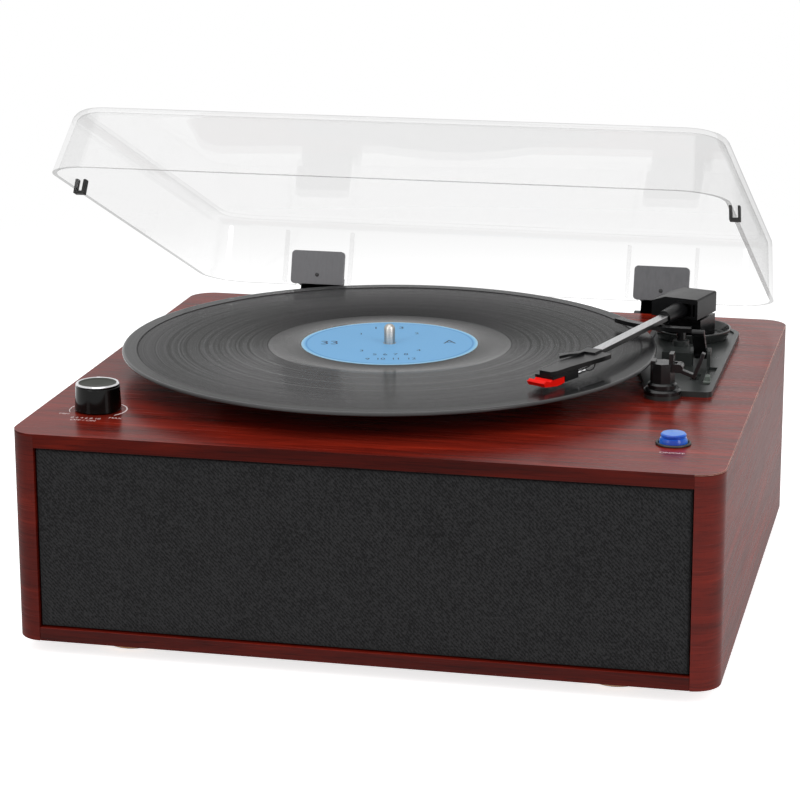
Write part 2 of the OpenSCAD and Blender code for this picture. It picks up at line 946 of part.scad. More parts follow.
module platter() {
    web = mat_under - platter_wall;
    ring_in = belt_ring_r - platter_wall;
    skirt_in = platter_r - platter_wall;
    color("#1d1d1f")
        difference() {
            turned(platter_at, 0, [
                [0, mat_under], [platter_r - 1, mat_under], [platter_r, mat_under - 1],
                [platter_r, platter_under],
                [skirt_in, platter_under], [skirt_in, web], [belt_ring_r, web],
                [belt_ring_r, platter_under + 0.5],
                [ring_in, platter_under + 0.5], [ring_in, web], [hub_r, web], [hub_r, platter_under],
                [0, platter_under]
            ]);
            upright(platter_at, platter_under - 1, mat_under - platter_under + 2, core_r);
        }
}

module slip_mat() {
    color("#26262a")
        difference() {
            upright(platter_at, mat_under, mat_t, platter_r - 1.5);
            upright(platter_at, mat_under - 1, mat_t + 2, hole_r);
        }
}

module record() {
    rim_in = record_r - record_rim;
    groove_z = record_z - groove_drop;
    color("#222224")
        turned(platter_at, 0, [
            [hole_r, record_under], [record_r - 0.6, record_under], [record_r, record_under + 0.6],
            [record_r, record_z - 0.6], [record_r - 0.6, record_z], [rim_in, record_z],
            [rim_in - 0.5, groove_z],
            [runout_r + 0.3, groove_z], [runout_r, groove_z - 0.1], [label_r + 1, groove_z - 0.1],
            [label_r + 0.5, groove_z], [hole_r, groove_z]
        ]);
}

module record_label() {
    color("#58b6e8")
        difference() {
            upright(platter_at, record_z - groove_drop, label_t, label_r);
            upright(platter_at, record_z - groove_drop - 1, label_t + 2, hole_r);
        }
}

module spindle() {
    top = record_z + spindle_up;
    seat_r = spindle_r + spindle_step;
    color("#d6d8da")
        turned(platter_at, 0, [
            [0, bearing_low], [core_r - 0.5, bearing_low], [core_r, bearing_low + 0.5],
            [core_r, mat_under],
            [seat_r, mat_under], [seat_r, record_z], [spindle_r, record_z], [spindle_r, top - 2.5],
            [spindle_r * 0.85, top - 1.2], [spindle_r * 0.55, top - 0.3], [spindle_r * 0.25, top],
            [0, top]
        ]);
}

// Tonearm

module plate_outline(inset) {
    translate(pivot_at)
        hull()
            for (c = [[plate_right - rear_r, plate_back - rear_r, rear_r],
                [rear_r - plate_left, plate_back - rear_r, rear_r],
                      [plate_right - front_r, front_r - plate_front, front_r],
                      [front_r - plate_left, -plate_waist - front_r, front_r],
                      [front_r - plate_nose, front_r - plate_front, front_r]])
                translate([c.x, c.y])
                    circle(c.z - inset, $fn = 32);
}

module slot(at, w, l) {
    translate([at.x, at.y, plate_z - slot_depth / 2 + eps])
        cube([w, l, slot_depth + 2 * eps], center = true);
}

module arm_plate() {
    ear_h = lever_z - plate_z;
    color("#1b1c1d")
        difference() {
            union() {
                translate([0, 0, deck_z])
                    linear_extrude(plate_t)
                        plate_outline(0);
                translate([0, 0, plate_z])
                    linear_extrude(plate_rim_h)
                        difference() {
                            plate_outline(0);
                            plate_outline(plate_rim_w);
                        }
                upright(rest_at, deck_z, plate_t, rest_r);
                upright(pivot_at, boss_low, deck_z - boss_low, boss_r);
                upright(lift_at, lift_low, lift_tube_top - lift_low, lift_tube_r);
                translate([lift_at.x, lift_at.y - 7, plate_z + cue_house.z / 2 - eps])
                    cube(cue_house, center = true);
                for (side = [-1, 1])
                    translate([lever_at.x + side * (lever_w / 2 + lever_gap + lever_ear_t / 2),
                        lever_at.y, 0]) {
                        translate([0, 0, plate_z + ear_h / 2])
                            cube([lever_ear_t, 7, ear_h], center = true);
                        translate([0, 0, lever_z])
                            rotate([0, 90, 0])
                                cylinder(h = lever_ear_t, r = 3.5, center = true);
                    }
            }
            upright(rest_at, plate_z, plate_rim_h + 1, rest_r);
            upright(pivot_at, boss_low - 1, plate_z - boss_low + 2, turret_r + run_gap);
            upright(lift_at, lift_low - 1, lift_tube_top - lift_low + 2, lift_r + run_gap);
            translate([lever_at.x, lever_at.y, lever_z])
                rotate([0, 90, 0])
                    cylinder(h = lever_w + 2 * lever_gap + 2 * lever_ear_t + 1,
                        r = lever_pin_r + run_gap, center = true);
            slot(speed_at, slot_w, speed_slot);
            slot(stop_at, slot_w, stop_slot);
        }
}

module arm_collar() {
    inner = collar_r - 6;
    color("#2c2d2f")
        turned(pivot_at, plate_z, [
            [inner, 0], [collar_r - 2.5, 0], [collar_r, collar_h - 1], [collar_r, collar_h],
            [collar_r - 1, collar_h], [collar_r - 2.6, collar_floor],
            [inner, collar_floor]
        ]);
}

module arm_turret() {
    drum_r = collar_r - 7.5;
    drum_top = plate_z + collar_floor + 0.8;
    half = block_w / 2 - 0.5;
    front = 15.8;
    post_l = block_rear - 2;
    color("#161718")
        on_arm() {
            translate([0, 0, boss_low])
                cylinder(h = plate_z - boss_low + 1, r = turret_r);
            translate([0, 0, plate_z + 0.5])
                cylinder(h = drum_top - plate_z - 0.5, r = drum_r);
            translate([-half, -front, drum_top - eps])
                cube([2 * half, front + block_rear, turret_top - drum_top + eps]);
            translate([-post_half, -post_l, turret_top - eps])
                cube([2 * post_half, 2 * post_l, arm_z + 3 - turret_top]);
            translate([0, 0, arm_z])
                rotate([0, 90, 0])
                    cylinder(h = block_w - 3, r = tip_pin_r, center = true);
        }
}

module arm_block() {
    half = block_w / 2;
    inside = half - block_wall;
    color("#303234")
        on_arm()
            difference() {
                union() {
                    difference() {
                        translate([0, block_rear, 0])
                            rotate([90, 0, 0])
                                linear_extrude(block_front + block_rear)
                                    polygon([
                                        [-block_left, block_low], [half, block_low],
                                        [half, block_top - 0.8], [half - 0.8, block_top],
                                        [-block_left / 2, block_top], [-block_left, block_top - 3]
                                    ]);
                        translate([0, -block_front - 1, block_low + 1.5])
                            cube([half - block_wall, pocket_d + 1, block_h - 4.5]);
                        translate([half - block_wall + 1, -block_front - 1, block_low + 1.5])
                            cube([1.2, pocket_d + 1, block_h - 4.5]);
                    }
                    translate([0, pocket_d - block_front, arm_z])
                        rotate([90, 0, 0])
                            cylinder(h = sleeve_front - block_front + pocket_d, r1 = sleeve_r + 0.8,
                                r2 = sleeve_r - 0.5);
                }
                translate([-inside, -12, block_low - 1])
                    cube([2 * inside, 12 + block_rear - 1, arm_z + 4.5 - block_low + 1]);
                translate([0, 0, arm_z])
                    rotate([0, 90, 0])
                        cylinder(h = block_w - 2, r = tip_pin_r + run_gap, center = true);
                translate([0, 1 - sleeve_front, arm_z])
                    cube([tube_w, 16, tube_h], center = true);
            }
}

module arm_tube() {
    color("#c4c6c8")
        on_arm()
            translate([-tube_w / 2, -tube_reach, tube_low])
                cube([tube_w, tube_reach - sleeve_front + 7 - 1, tube_h]);
}

module headshell() {
    neck = tube_w / 2 + 1.4;
    half = shell_w / 2;
    color("#1f2022")
        difference() {
            union() {
                on_arm()
                    translate([-neck, -shell_rear - 9, shell_z])
                        cube([2 * neck, 9, tube_low + tube_h + 1 - shell_z]);
                on_shell()
                    translate([0, 0, shell_z])
                        linear_extrude(shell_t)
                            polygon([
                                [1 - half, -2], [half, -2], [half + 0.7, -4], [half + 0.7, -12],
                                [half - 1, -shell_waist - 8],
                                [half - 1, 4 - shell_front], [half - 2.5, -shell_front],
                                [3.4 - half, -shell_front],
                                [2 - half, -shell_front * 3 / 4], [-half, -shell_waist], [-half, -4]
                            ]);
            }
            on_arm()
                translate([-tube_w / 2, -tube_reach, tube_low])
                    cube([tube_w, tube_reach - shell_rear + 1, tube_h]);
        }
}

module finger_lift() {
    root = [-shell_w / 2, -11.5];
    color("#141516")
        on_shell()
            translate([0, 0, shell_z + shell_t])
                linear_extrude(1.6)
                    polygon([
                        root + [2, 0], root + [2, -6], root + [-1, -10.5], root + [-2.4, -17.5],
                            root + [-6, -12.5], root + [-2, -5.5], root + [-0.5, 0]
                    ]);
}

// Body under the headshell, with four pins for the wires at its rear.
module cartridge() {
    low = stylus_low + 1;
    color("#191a1c")
        on_shell() {
            translate([-cartridge_w / 2, -cartridge_rear - cartridge_l, stylus_top])
                cube([cartridge_w, cartridge_l, shell_z - stylus_top]);
            translate([-cartridge_w / 2, -stylus_rear, low])
                cube([cartridge_w, stylus_rear - cartridge_rear, shell_z - low]);
            for (x = [-3, -1, 1, 3])
                translate([x * cartridge_w / 8, -cartridge_rear - 1, (low + shell_z) / 2])
                    rotate([-90, 0, 0])
                        cylinder(h = terminal_l + 1, r = terminal_r, $fn = 24);
        }
}

module stylus() {
    nose = cartridge_rear + cartridge_l;
    half = (cartridge_w - 1) / 2;
    color("#e0201c")
        on_shell() {
            rotate([90, 0, -90])
                translate([0, 0, -half])
                    linear_extrude(2 * half)
                        polygon([
                            [stylus_rear, stylus_top], [stylus_rear, stylus_low + 0.6],
                            [stylus_rear + 4, stylus_low], [nose - 4, stylus_low],
                            [nose + 6.5, stylus_low + 1.4], [nose + 8, stylus_top - 0.6],
                            [nose + 5.5, stylus_top + 0.4], [nose + 1.5, stylus_top - 1],
                            [nose, stylus_top]
                        ]);
            translate([0, -stylus_reach, needle_z])
                cylinder(h = stylus_low - needle_z + 1.6, r1 = 0.25, r2 = 0.8);
        }
}

module lift_platform() {
    sweep = arm_heading + 30 + lift_over;
    color("#232426") {
        translate([pivot_at.x, pivot_at.y, lift_top - lift_bar_h])
            rotate([0, 0, lift_over - 90 - sweep])
                rotate_extrude(angle = sweep)
                    translate([lift_reach - lift_bar_w / 2, 0])
                        square([lift_bar_w, lift_bar_h]);
        upright(lift_at, lift_low, lift_top - lift_low, lift_r);
    }
}

module cue_lever() {
    thick = 4;
    hub = 3;
    lip_r = 1.8;
    color("#101112")
        translate([lever_at.x, lever_at.y, lever_z])
            rotate([90, 0, 90]) {
                linear_extrude(lever_w, center = true) {
                    circle(hub);
                    rotate(-lever_tilt) {
                        polygon([[0, -thick / 2], [0, thick / 2], [-lever_l, lip_r / 2],
                            [-lever_l, -lip_r / 2]]);
                        translate([-lever_l, 0])
                            circle(lip_r);
                    }
                }
                cylinder(h = lever_w + 2 * lever_gap + 2 * lever_ear_t, r = lever_pin_r, center = true);
            }
}

module arm_rest() {
    post_r = 6.8;
    half = 3.5;
    lug_t = 1.4;
    lug = clip_w / 2 + clip_gap;
    color("#1a1b1c")
        translate([rest_at.x, rest_at.y, 0])
            difference() {
                union() {
                    translate([0, 0, plate_z])
                        rotate_extrude()
                            polygon([
                                [0, 0], [rest_r, 0], [rest_r, 1.8], [rest_r - 1, 2.8],
                                [rest_r - 2.2, 3.2], [rest_r - 2.2, 5.2], [rest_r - 3.2, rest_step],
                                [0, rest_step]
                            ]);
                    translate([0, 0, plate_z + rest_step - eps])
                        cylinder(h = rest_top - plate_z - rest_step + eps, r = post_r, $fn = 8);
                    translate([-prong_x - prong_t, -half, rest_top - eps])
                        cube([prong_t, 2 * half, tube_low - 0.5 - rest_top + eps]);
                    translate([prong_x, -half, rest_top - eps])
                        cube([prong_t, 2 * half, prong_top - rest_top + eps]);
                    for (side = [-1, 1])
                        translate([0, side * (lug + lug_t / 2), 0]) {
                            translate([clip_at.x, 0, clip_at.y])
                                rotate([90, 0, 0])
                                    cylinder(h = lug_t, r = clip_r, center = true);
                            translate([clip_at.x / 2 + 1.5, 0, clip_at.y])
                                cube([clip_at.x - 3, lug_t, 2 * clip_r], center = true);
                        }
                    translate([clip_at.x, 0, clip_at.y])
                        rotate([90, 0, 0])
                            cylinder(h = 2 * (lug + lug_t), r = clip_pin_r, center = true);
                }
                difference() {
                    translate([clip_at.x, 0, clip_at.y])
                        rotate([90, 0, 0])
                            cylinder(h = 2 * lug, r = clip_r + clip_gap + 0.1, center = true);
                    translate([clip_at.x, 0, clip_at.y])
                        rotate([90, 0, 0])
                            cylinder(h = 2 * lug + 1, r = clip_pin_r, center = true);
                }
            }
}

// Drawn closed over the parked tube, then turned open about its pin.
module arm_clip() {
    over = prong_top + 0.6;
    color("#151617")
        translate([rest_at.x + clip_at.x, rest_at.y, clip_at.y])
            rotate([0, clip_open, 0])
                translate([-clip_at.x, -clip_w / 2, -clip_at.y])
                    difference() {
                        union() {
                            translate([clip_at.x - clip_bar + clip_r, 0, clip_at.y])
                                cube([clip_bar, clip_w, over + clip_bar - clip_at.y]);
                            translate([-prong_x, 0, over])
                                cube([clip_at.x + clip_r + prong_x, clip_w, clip_bar]);
                            translate([clip_at.x, 0, clip_at.y])
                                rotate([-90, 0, 0])
                                    cylinder(h = clip_w, r = clip_r);
                        }
                        translate([clip_at.x, -1, clip_at.y])
                            rotate([-90, 0, 0])
                                cylinder(h = clip_w + 2, r = clip_pin_r + run_gap);
                    }
}

// A slider that lies on its recess's floor, with a ribbed thumb piece above the plate.
module slider(at, w, l, travel) {
    base = slot_depth - 0.4;
    color("#0f1011")
        translate([at.x - w / 2, at.y - travel / 2 - l / 2, plate_z - slot_depth]) {
            cube([w, l, base]);
            translate([w / 6, l / 4, base])
                cube([w * 2 / 3, l / 2, 2.4]);
            for (k = [0, 1, 2])
                translate([w / 6, l / 4 + k * l / 5, base + 2.4])
                    cube([w * 2 / 3, l / 10, 0.5]);
        }
}

module speed_slider() {
    slider(speed_at, slot_w - 2 * slider_wall, speed_l, speed_travel);
}

module stop_slider() {
    slider(stop_at, slot_w - 2 * slider_wall, stop_l, stop_travel);
}

// Controls

module volume_pot() {
    color("#84878b")
        difference() {
            union() {
                upright(knob_at, deck_under - pot_h, pot_h, pot_r);
                upright(knob_at, deck_under, board_t, pot_bush_r);
            }
            upright(knob_at, deck_under - pot_h + 2, pot_h + board_t, stem_r + run_gap);
        }
}

module volume_knob() {
    color("#0c0c0e") {
        turned(knob_at, 0, [
            [0, knob_low], [knob_r - 0.5, knob_low], [knob_r, knob_low + 0.5],
            [knob_top_r + 0.2, knob_top - ring_h - 0.3],
            [knob_top_r, knob_top - ring_h], [knob_top_r - ring_w, knob_top - ring_h],
            [knob_top_r - ring_w, knob_top - 0.4], [knob_top_r - ring_w - 1.5, knob_top - dish_depth],
            [0, knob_top - dish_depth - 0.6]
        ]);
        upright(knob_at, deck_under - pot_h + 2, knob_low + 1 - deck_under + pot_h - 2, stem_r);
    }
}

module knob_ring() {
    color("#d8d9db")
        turned(knob_at, knob_top - ring_h, [
            [knob_top_r - ring_w, 0], [knob_top_r, 0], [knob_top_r, ring_h - 0.7],
            [knob_top_r - 0.5, ring_h - 0.1],
            [knob_top_r - 0.8, ring_h], [knob_top_r - ring_w, ring_h - 0.3]
        ]);
}

module button_switch() {
    color("#2f3032")
        difference() {
            translate([button_at.x, button_at.y, deck_under - switch_h / 2])
                cube([switch_w, switch_w, switch_h], center = true);
            upright(button_at, deck_under - switch_h + 1, switch_h, plunger_r + run_gap);
        }
}

module button_bezel() {
    inner = button_r + button_gap;
    color("#161616")
        turned(button_at, 0, [
            [inner, deck_under], [bezel_tube_r, deck_under], [bezel_tube_r, deck_z], [bezel_r, deck_z],
            [bezel_r, deck_z + bezel_h - 0.6], [bezel_r - 0.6, deck_z + bezel_h],
            [inner, deck_z + bezel_h - 0.5]
        ]);
}

module power_button() {
    top = deck_z + button_up;
    plunger_low = deck_under - switch_h + 1 + button_travel + 0.5;
    color("#2f7fe6") {
        turned(button_at, 0, [
            [0, button_low], [button_r, button_low], [button_r, deck_z + 2],
            [button_top_r + 0.2, top - groove_low],
            [button_top_r - 0.5, top - groove_low + 0.2], [button_top_r - 0.5, top - groove_low + 0.7],
            [button_top_r, top - groove_low + 0.9], [button_top_r, top - 0.8],
            [button_top_r - 0.6, top - 0.2], [0, top]
        ]);
        upright(button_at, plunger_low, button_low + eps - plunger_low, plunger_r);
    }
}

// Hinges and lid

module hinge_bracket(side) {
    ear_at = knuckle_w / 2 + ear_gap + ear_t / 2;
    color("#1a1b1c")
        difference() {
            union() {
                translate([side * hinge_x - bracket_w / 2, back_face, bracket_low])
                    cube([bracket_w, bracket_t, bracket_high - bracket_low]);
                for (ear = [-1, 1])
                    translate([side * hinge_x + ear * ear_at, 0, 0])
                        rotate([90, 0, 90])
                            linear_extrude(ear_t, center = true)
                                hull() {
                                    translate([hinge_y, hinge_z])
                                        circle(knuckle_r * 1.1, $fn = 32);
                                    translate([back_face + bracket_t / 2, bracket_high - bracket_ear_h])
                                        square([bracket_t / 2, bracket_ear_h]);
                                }
            }
            translate([side * hinge_x, hinge_y, hinge_z])
                rotate([0, 90, 0])
                    cylinder(h = bracket_w + 2, r = hinge_pin_r, center = true);
            hinge_screws()
                translate([0, 0, -1])
                    screw_hole(screw_l);
        }
}

module hinge_pins() {
    color("#b9bbbd")
        for (side = [-1, 1])
            translate([side * hinge_x, hinge_y, hinge_z])
                rotate([0, 90, 0])
                    cylinder(h = bracket_w, r = hinge_pin_r, center = true);
}

// Bent plate: a knuckle on the pin, a leg up behind the cabinet, and a leaf inside the lid's rear wall.
module hinge_leaf(side) {
    leaf_low = lid_z + 0.5;
    leaf_y = lid_rear_y - lid_wall - leaf_gap;
    leg_t = 5;
    color("#3b3d3f")
        opened()
            translate([side * hinge_x, 0, 0])
                difference() {
                    union() {
                        translate([0, hinge_y, hinge_z])
                            rotate([0, 90, 0])
                                cylinder(h = knuckle_w, r = knuckle_r, center = true);
                        translate([-knuckle_w / 2, hinge_y - knuckle_r, hinge_z])
                            cube([knuckle_w, leg_t, leg_high - hinge_z]);
                        translate([-knuckle_w / 2, leaf_y - leaf_t, leg_low])
                            cube([knuckle_w, hinge_y - knuckle_r + leg_t - leaf_y + leaf_t,
                                leg_high - leg_low]);
                        translate([0, leaf_y, leaf_low])
                            rotate([lean_angle, 0, 0])
                                translate([0, 0, leaf_h / 2])
                                    rotate([90, 0, 0])
                                        linear_extrude(leaf_t)
                                            rounded_rect(leaf_w, leaf_h, 2.5);
                    }
                    translate([0, hinge_y, hinge_z])
                        rotate([0, 90, 0])
                            cylinder(h = knuckle_w + 2, r = hinge_pin_r + run_gap, center = true);
                }
}

// Closed outer or inner form of the lid, drawn in from the rim's outline by a wall's thickness.
module lid_form(inset, low) {
    top_corner = lid_corner_r - side_lean - inset;
    edge = lid_top_r - inset;
    rise = [lid_front_h - inset, lid_rear_h - inset];
    ends = [lid_front_y + front_lean + inset + top_corner, lid_rear_y - rear_lean - inset - top_corner];
    hull() {
        translate([0, lid_mid_y, lid_z + low])
            linear_extrude(0.4)
                rounded_rect(lid_w - 2 * inset, lid_d - 2 * inset, lid_corner_r - inset, $fn = 32);
        for (x = [-1, 1], end = [0, 1])
            translate([x * (lid_w / 2 - side_lean - inset - top_corner), ends[end],
                lid_z + rise[end] - edge])
                rotate_extrude($fn = 32)
                    translate([top_corner - edge, 0])
                        intersection() {
                            circle(edge, $fn = 32);
                            translate([edge - top_corner, -edge])
                                square([top_corner, 2 * edge]);
                        }
    }
}

// Upright ribs inside the rear wall that frame the two hinge leaves.
module lid_ribs() {
    high = lid_rear_h - lid_top_r;
    foot = lid_rear_y - lid_wall - rib_low * tan(lean_angle);
    head = lid_rear_y - lid_wall - rear_lean;
    sink = lid_wall / 4;
    for (side = [-1, 1], edge = [-1, 1])
        translate([side * hinge_x + edge * rib_x, 0, lid_z])
            rotate([90, 0, 90])
                linear_extrude(rib_t, center = true)
                    polygon([
                        [foot + sink, rib_low], [head + sink, high], [head - rib_head, high],
                        [foot - rib_foot, rib_low]
                    ]);
}

module lid() {
    color([0.85, 0.88, 0.9, 0.35])
        opened() {
            difference() {
                lid_form(0, 0);
                lid_form(lid_wall, -0.4);
                for (side = [-1, 1])
                    translate([side * hinge_x - knuckle_w / 2 - notch_side, lid_rear_y - lid_wall - 4,
                        lid_z - 1])
                        cube([knuckle_w + 2 * notch_side, lid_wall + 6, notch_h + 1]);
            }
            lid_ribs();
        }
}

// Rubber pieces pushed over the rim from below. Their slit leans with the lid's side.
module lid_bumpers() {
    lip = 1.4;
    inner = -lid_wall - 0.3;
    outer = 0.3;
    lean = bumper_h * side_lean / (lid_front_h - lid_top_r);
    color("#131313")
        opened()
            for (side = [-1, 1])
                translate([side * lid_w / 2, lid_front_y + bumper_in, lid_z])
                    rotate([90, 0, 0])
                        linear_extrude(bumper_l, center = true)
                            polygon([
                                for (p = [
                                    [inner - lip, -rim_gap], [outer + lip, -rim_gap],
                                    [outer + lip - lean, bumper_h],
                                    [outer - lean, bumper_h], [outer, 0], [inner, 0],
                                    [inner - lean, bumper_h],
                                    [inner - lip - lean, bumper_h]
                                ])
                                    [side * p.x, p.y]
                            ]);
}

deck_panel();
side_panel(-1);  // left_side_panel
side_panel(1);  // right_side_panel
bottom_panel();
back_panel();
baffle_board();
grille_frame();
grille_cloth();
speaker_basket(-1);  // left_speaker_basket
speaker_basket(1);  // right_speaker_basket
speaker_cone(-1);  // left_speaker_cone
speaker_cone(1);  // right_speaker_cone
speaker_magnet(-1);  // left_speaker_magnet
speaker_magnet(1);  // right_speaker_magnet
feet();
foot_pads();
circuit_board();
phono_sockets();
power_inlet();
panel_screws();
deck_screws();
bearing_housing();
bearing_bush();
motor();
drive_belt();
motor_shaft();
motor_pulley();
platter();
slip_mat();
record();
record_label();
spindle();
arm_plate();
arm_collar();
arm_turret();
arm_block();
arm_tube();
headshell();
finger_lift();
cartridge();
stylus();
lift_platform();
cue_lever();
arm_rest();
arm_clip();
speed_slider();
stop_slider();
volume_pot();
volume_knob();
knob_ring();
button_switch();
button_bezel();
power_button();
hinge_bracket(-1);  // left_hinge_bracket
hinge_bracket(1);  // right_hinge_bracket
hinge_pins();
hinge_leaf(-1);  // left_hinge_leaf
hinge_leaf(1);  // right_hinge_leaf
lid();
lid_bumpers();
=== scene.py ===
import json
import math

import bmesh
import bpy
from mathutils import Matrix, Vector

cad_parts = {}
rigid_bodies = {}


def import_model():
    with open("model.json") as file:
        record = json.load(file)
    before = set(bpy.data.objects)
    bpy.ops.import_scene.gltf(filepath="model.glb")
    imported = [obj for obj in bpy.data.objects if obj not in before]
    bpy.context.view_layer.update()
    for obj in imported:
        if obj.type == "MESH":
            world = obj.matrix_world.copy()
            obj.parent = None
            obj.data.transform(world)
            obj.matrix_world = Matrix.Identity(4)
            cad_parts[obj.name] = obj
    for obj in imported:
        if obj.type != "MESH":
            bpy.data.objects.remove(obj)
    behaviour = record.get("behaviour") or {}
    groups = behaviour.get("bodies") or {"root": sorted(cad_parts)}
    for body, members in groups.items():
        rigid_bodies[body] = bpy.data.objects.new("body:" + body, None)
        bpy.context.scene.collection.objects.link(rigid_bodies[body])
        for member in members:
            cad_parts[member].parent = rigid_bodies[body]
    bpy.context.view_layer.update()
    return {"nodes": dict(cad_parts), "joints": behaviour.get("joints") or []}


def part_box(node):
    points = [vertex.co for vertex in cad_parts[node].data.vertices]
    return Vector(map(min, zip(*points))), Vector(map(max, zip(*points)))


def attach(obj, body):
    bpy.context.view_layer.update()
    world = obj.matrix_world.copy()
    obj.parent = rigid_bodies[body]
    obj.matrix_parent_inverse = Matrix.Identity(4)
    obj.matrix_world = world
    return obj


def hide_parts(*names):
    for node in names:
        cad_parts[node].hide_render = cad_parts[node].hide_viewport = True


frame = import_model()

# The studio: a pale paper floor in white surroundings, one broad soft box overhead and one to each
# side of the camera.
scene = bpy.context.scene
scene.view_settings.view_transform = "Standard"


def new_node(owner, kind, values=(), **settings):
    """A shader node in a material or world, with its settings and some of its socket values."""
    node = owner.node_tree.nodes.new("ShaderNode" + kind)
    for name, value in settings.items():
        setattr(node, name, value)
    for socket, value in dict(values).items():
        node.inputs[socket].default_value = value
    return node


def connect(owner, *pairs):
    """Links each (output, input) pair."""
    for output, target in pairs:
        owner.node_tree.links.new(output, target)


def seen_rays(owner):
    """1 for the rays that see the background: from the camera, off gloss and through clear plastic."""
    path = new_node(owner, "LightPath")
    first = new_node(owner, "Math", operation="MAXIMUM")
    both = new_node(owner, "Math", operation="MAXIMUM")
    connect(owner, (path.outputs["Is Camera Ray"], first.inputs[0]),
            (path.outputs["Is Glossy Ray"], first.inputs[1]),
            (first.outputs[0], both.inputs[0]),
            (path.outputs["Is Transmission Ray"], both.inputs[1]))
    return both.outputs[0]


surroundings = bpy.data.worlds.new("white surroundings")
surroundings.use_nodes = True
scene.world = surroundings
glow = surroundings.node_tree.nodes["Background"]
glow.inputs["Color"].default_value = (1, 1, 1, 1)
glow_level = new_node(surroundings, "MapRange", {"To Min": 0.42, "To Max": 1.0})
connect(surroundings, (seen_rays(surroundings), glow_level.inputs["Value"]),
        (glow_level.outputs["Result"], glow.inputs["Strength"]))

floor_radius = 1.5
floor_mesh = bmesh.new()
bmesh.ops.create_circle(floor_mesh, cap_ends=True, segments=96, radius=floor_radius)
floor_data = bpy.data.meshes.new("paper floor")
floor_mesh.to_mesh(floor_data)
floor_mesh.free()
floor = bpy.data.objects.new("paper floor", floor_data)
scene.collection.objects.link(floor)
paper = bpy.data.materials.new("white paper")
paper.use_nodes = True
floor_data.materials.append(paper)
paper_face = paper.node_tree.nodes["Principled BSDF"]
paper_face.inputs["Base Color"].default_value = (0.88, 0.88, 0.88, 1)
paper_face.inputs["Roughness"].default_value = 0.9
paper_face.inputs["Specular IOR Level"].default_value = 0.1
paper_face.inputs["Emission Color"].default_value = (1, 1, 1, 1)
paper_place = new_node(paper, "TexCoord")
paper_grain = new_node(paper, "TexNoise", {"Scale": 900.0, "Detail": 2.0})
paper_bump = new_node(paper, "Bump", {"Strength": 0.05, "Distance": 0.0002})
paper_seen = seen_rays(paper)
paper_lift = new_node(paper, "MapRange", {"To Min": 0.0, "To Max": 0.75})
paper_reach = new_node(paper, "VectorMath", operation="LENGTH")
paper_fade = new_node(paper, "MapRange", {"From Min": 0.45, "From Max": 1.1}, interpolation_type="SMOOTHSTEP")
paper_far = new_node(paper, "Emission")
paper_far_level = new_node(paper, "MapRange", {"To Min": 0.42, "To Max": 1.0})
paper_mix = new_node(paper, "MixShader")
connect(paper, (paper_place.outputs["Object"], paper_grain.inputs["Vector"]),
        (paper_grain.outputs["Fac"], paper_bump.inputs["Height"]),
        (paper_bump.outputs["Normal"], paper_face.inputs["Normal"]),
        (paper_seen, paper_lift.inputs["Value"]),
        (paper_lift.outputs["Result"], paper_face.inputs["Emission Strength"]),
        (paper_seen, paper_far_level.inputs["Value"]),
        (paper_far_level.outputs["Result"], paper_far.inputs["Strength"]),
        (paper_place.outputs["Object"], paper_reach.inputs[0]),
        (paper_reach.outputs["Value"], paper_fade.inputs["Value"]),
        (paper_fade.outputs["Result"], paper_mix.inputs["Fac"]),
        (paper_face.outputs["BSDF"], paper_mix.inputs[1]),
        (paper_far.outputs["Emission"], paper_mix.inputs[2]),
        (paper_mix.outputs["Shader"], paper.node_tree.nodes["Material Output"].inputs["Surface"]))


def soft_box(name, place, size, watts):
    """A rectangular soft box that faces the player's deck."""
    light = bpy.data.lights.new(name, "AREA")
    light.shape = "RECTANGLE"
    light.size, light.size_y = size
    light.energy = watts
    lamp = bpy.data.objects.new(name, light)
    lamp.location = place
    lamp.rotation_euler = (Vector((0, 0, 0.1)) - Vector(place)).to_track_quat("-Z", "Y").to_euler()
    lamp.visible_camera = False
    scene.collection.objects.link(lamp)


soft_box("overhead box", (-0.15, -0.25, 1.7), (1.7, 1.4), 11.0)
soft_box("left box", (-0.95, -1.45, 0.95), (0.5, 1.5), 7.0)
soft_box("right box", (1.45, -0.95, 0.95), (0.5, 1.5), 11.0)

camera_turn, camera_rise, camera_roll = (math.radians(a) for a in (12.991, 15.038, -0.163))
view_back = Vector((math.sin(camera_turn) * math.cos(camera_rise),
                    -math.cos(camera_turn) * math.cos(camera_rise), math.sin(camera_rise)))
level_right = Vector((math.cos(camera_turn), math.sin(camera_turn), 0))
level_up = view_back.cross(level_right)
view_right = math.cos(camera_roll) * level_right + math.sin(camera_roll) * level_up
view_up = math.cos(camera_roll) * level_up - math.sin(camera_roll) * level_right
lens = bpy.data.cameras.new("photograph")
lens.lens, lens.sensor_width = 125.06, 36.0
camera = bpy.data.objects.new("photograph", lens)
camera.matrix_world = Matrix.Translation((0.327130, -1.497212, 0.514415)) @ Matrix(
    (view_right, view_up, view_back)).transposed().to_4x4()
scene.collection.objects.link(camera)
scene.camera = camera

# The cabinet: boards under a red-brown veneer, its figure running level round the sides and along the
# deck, sealed with clear gloss lacquer. The edges are sanded a little round before the lacquer.


def srgb(red, green, blue):
    """The linear colour of a tone given in 0 to 255."""
    return tuple(c / 3294.6 if c <= 10 else ((c / 255 + 0.055) / 1.055) ** 2.4
                 for c in (red, green, blue)) + (1,)


def finish(name, **values):
    """A material with the values that are the same all over set on its shader."""
    material = bpy.data.materials.new(name)
    material.use_nodes = True
    shader = material.node_tree.nodes["Principled BSDF"]
    for socket, value in values.items():
        shader.inputs[socket.replace("_", " ")].default_value = value
    return material, shader


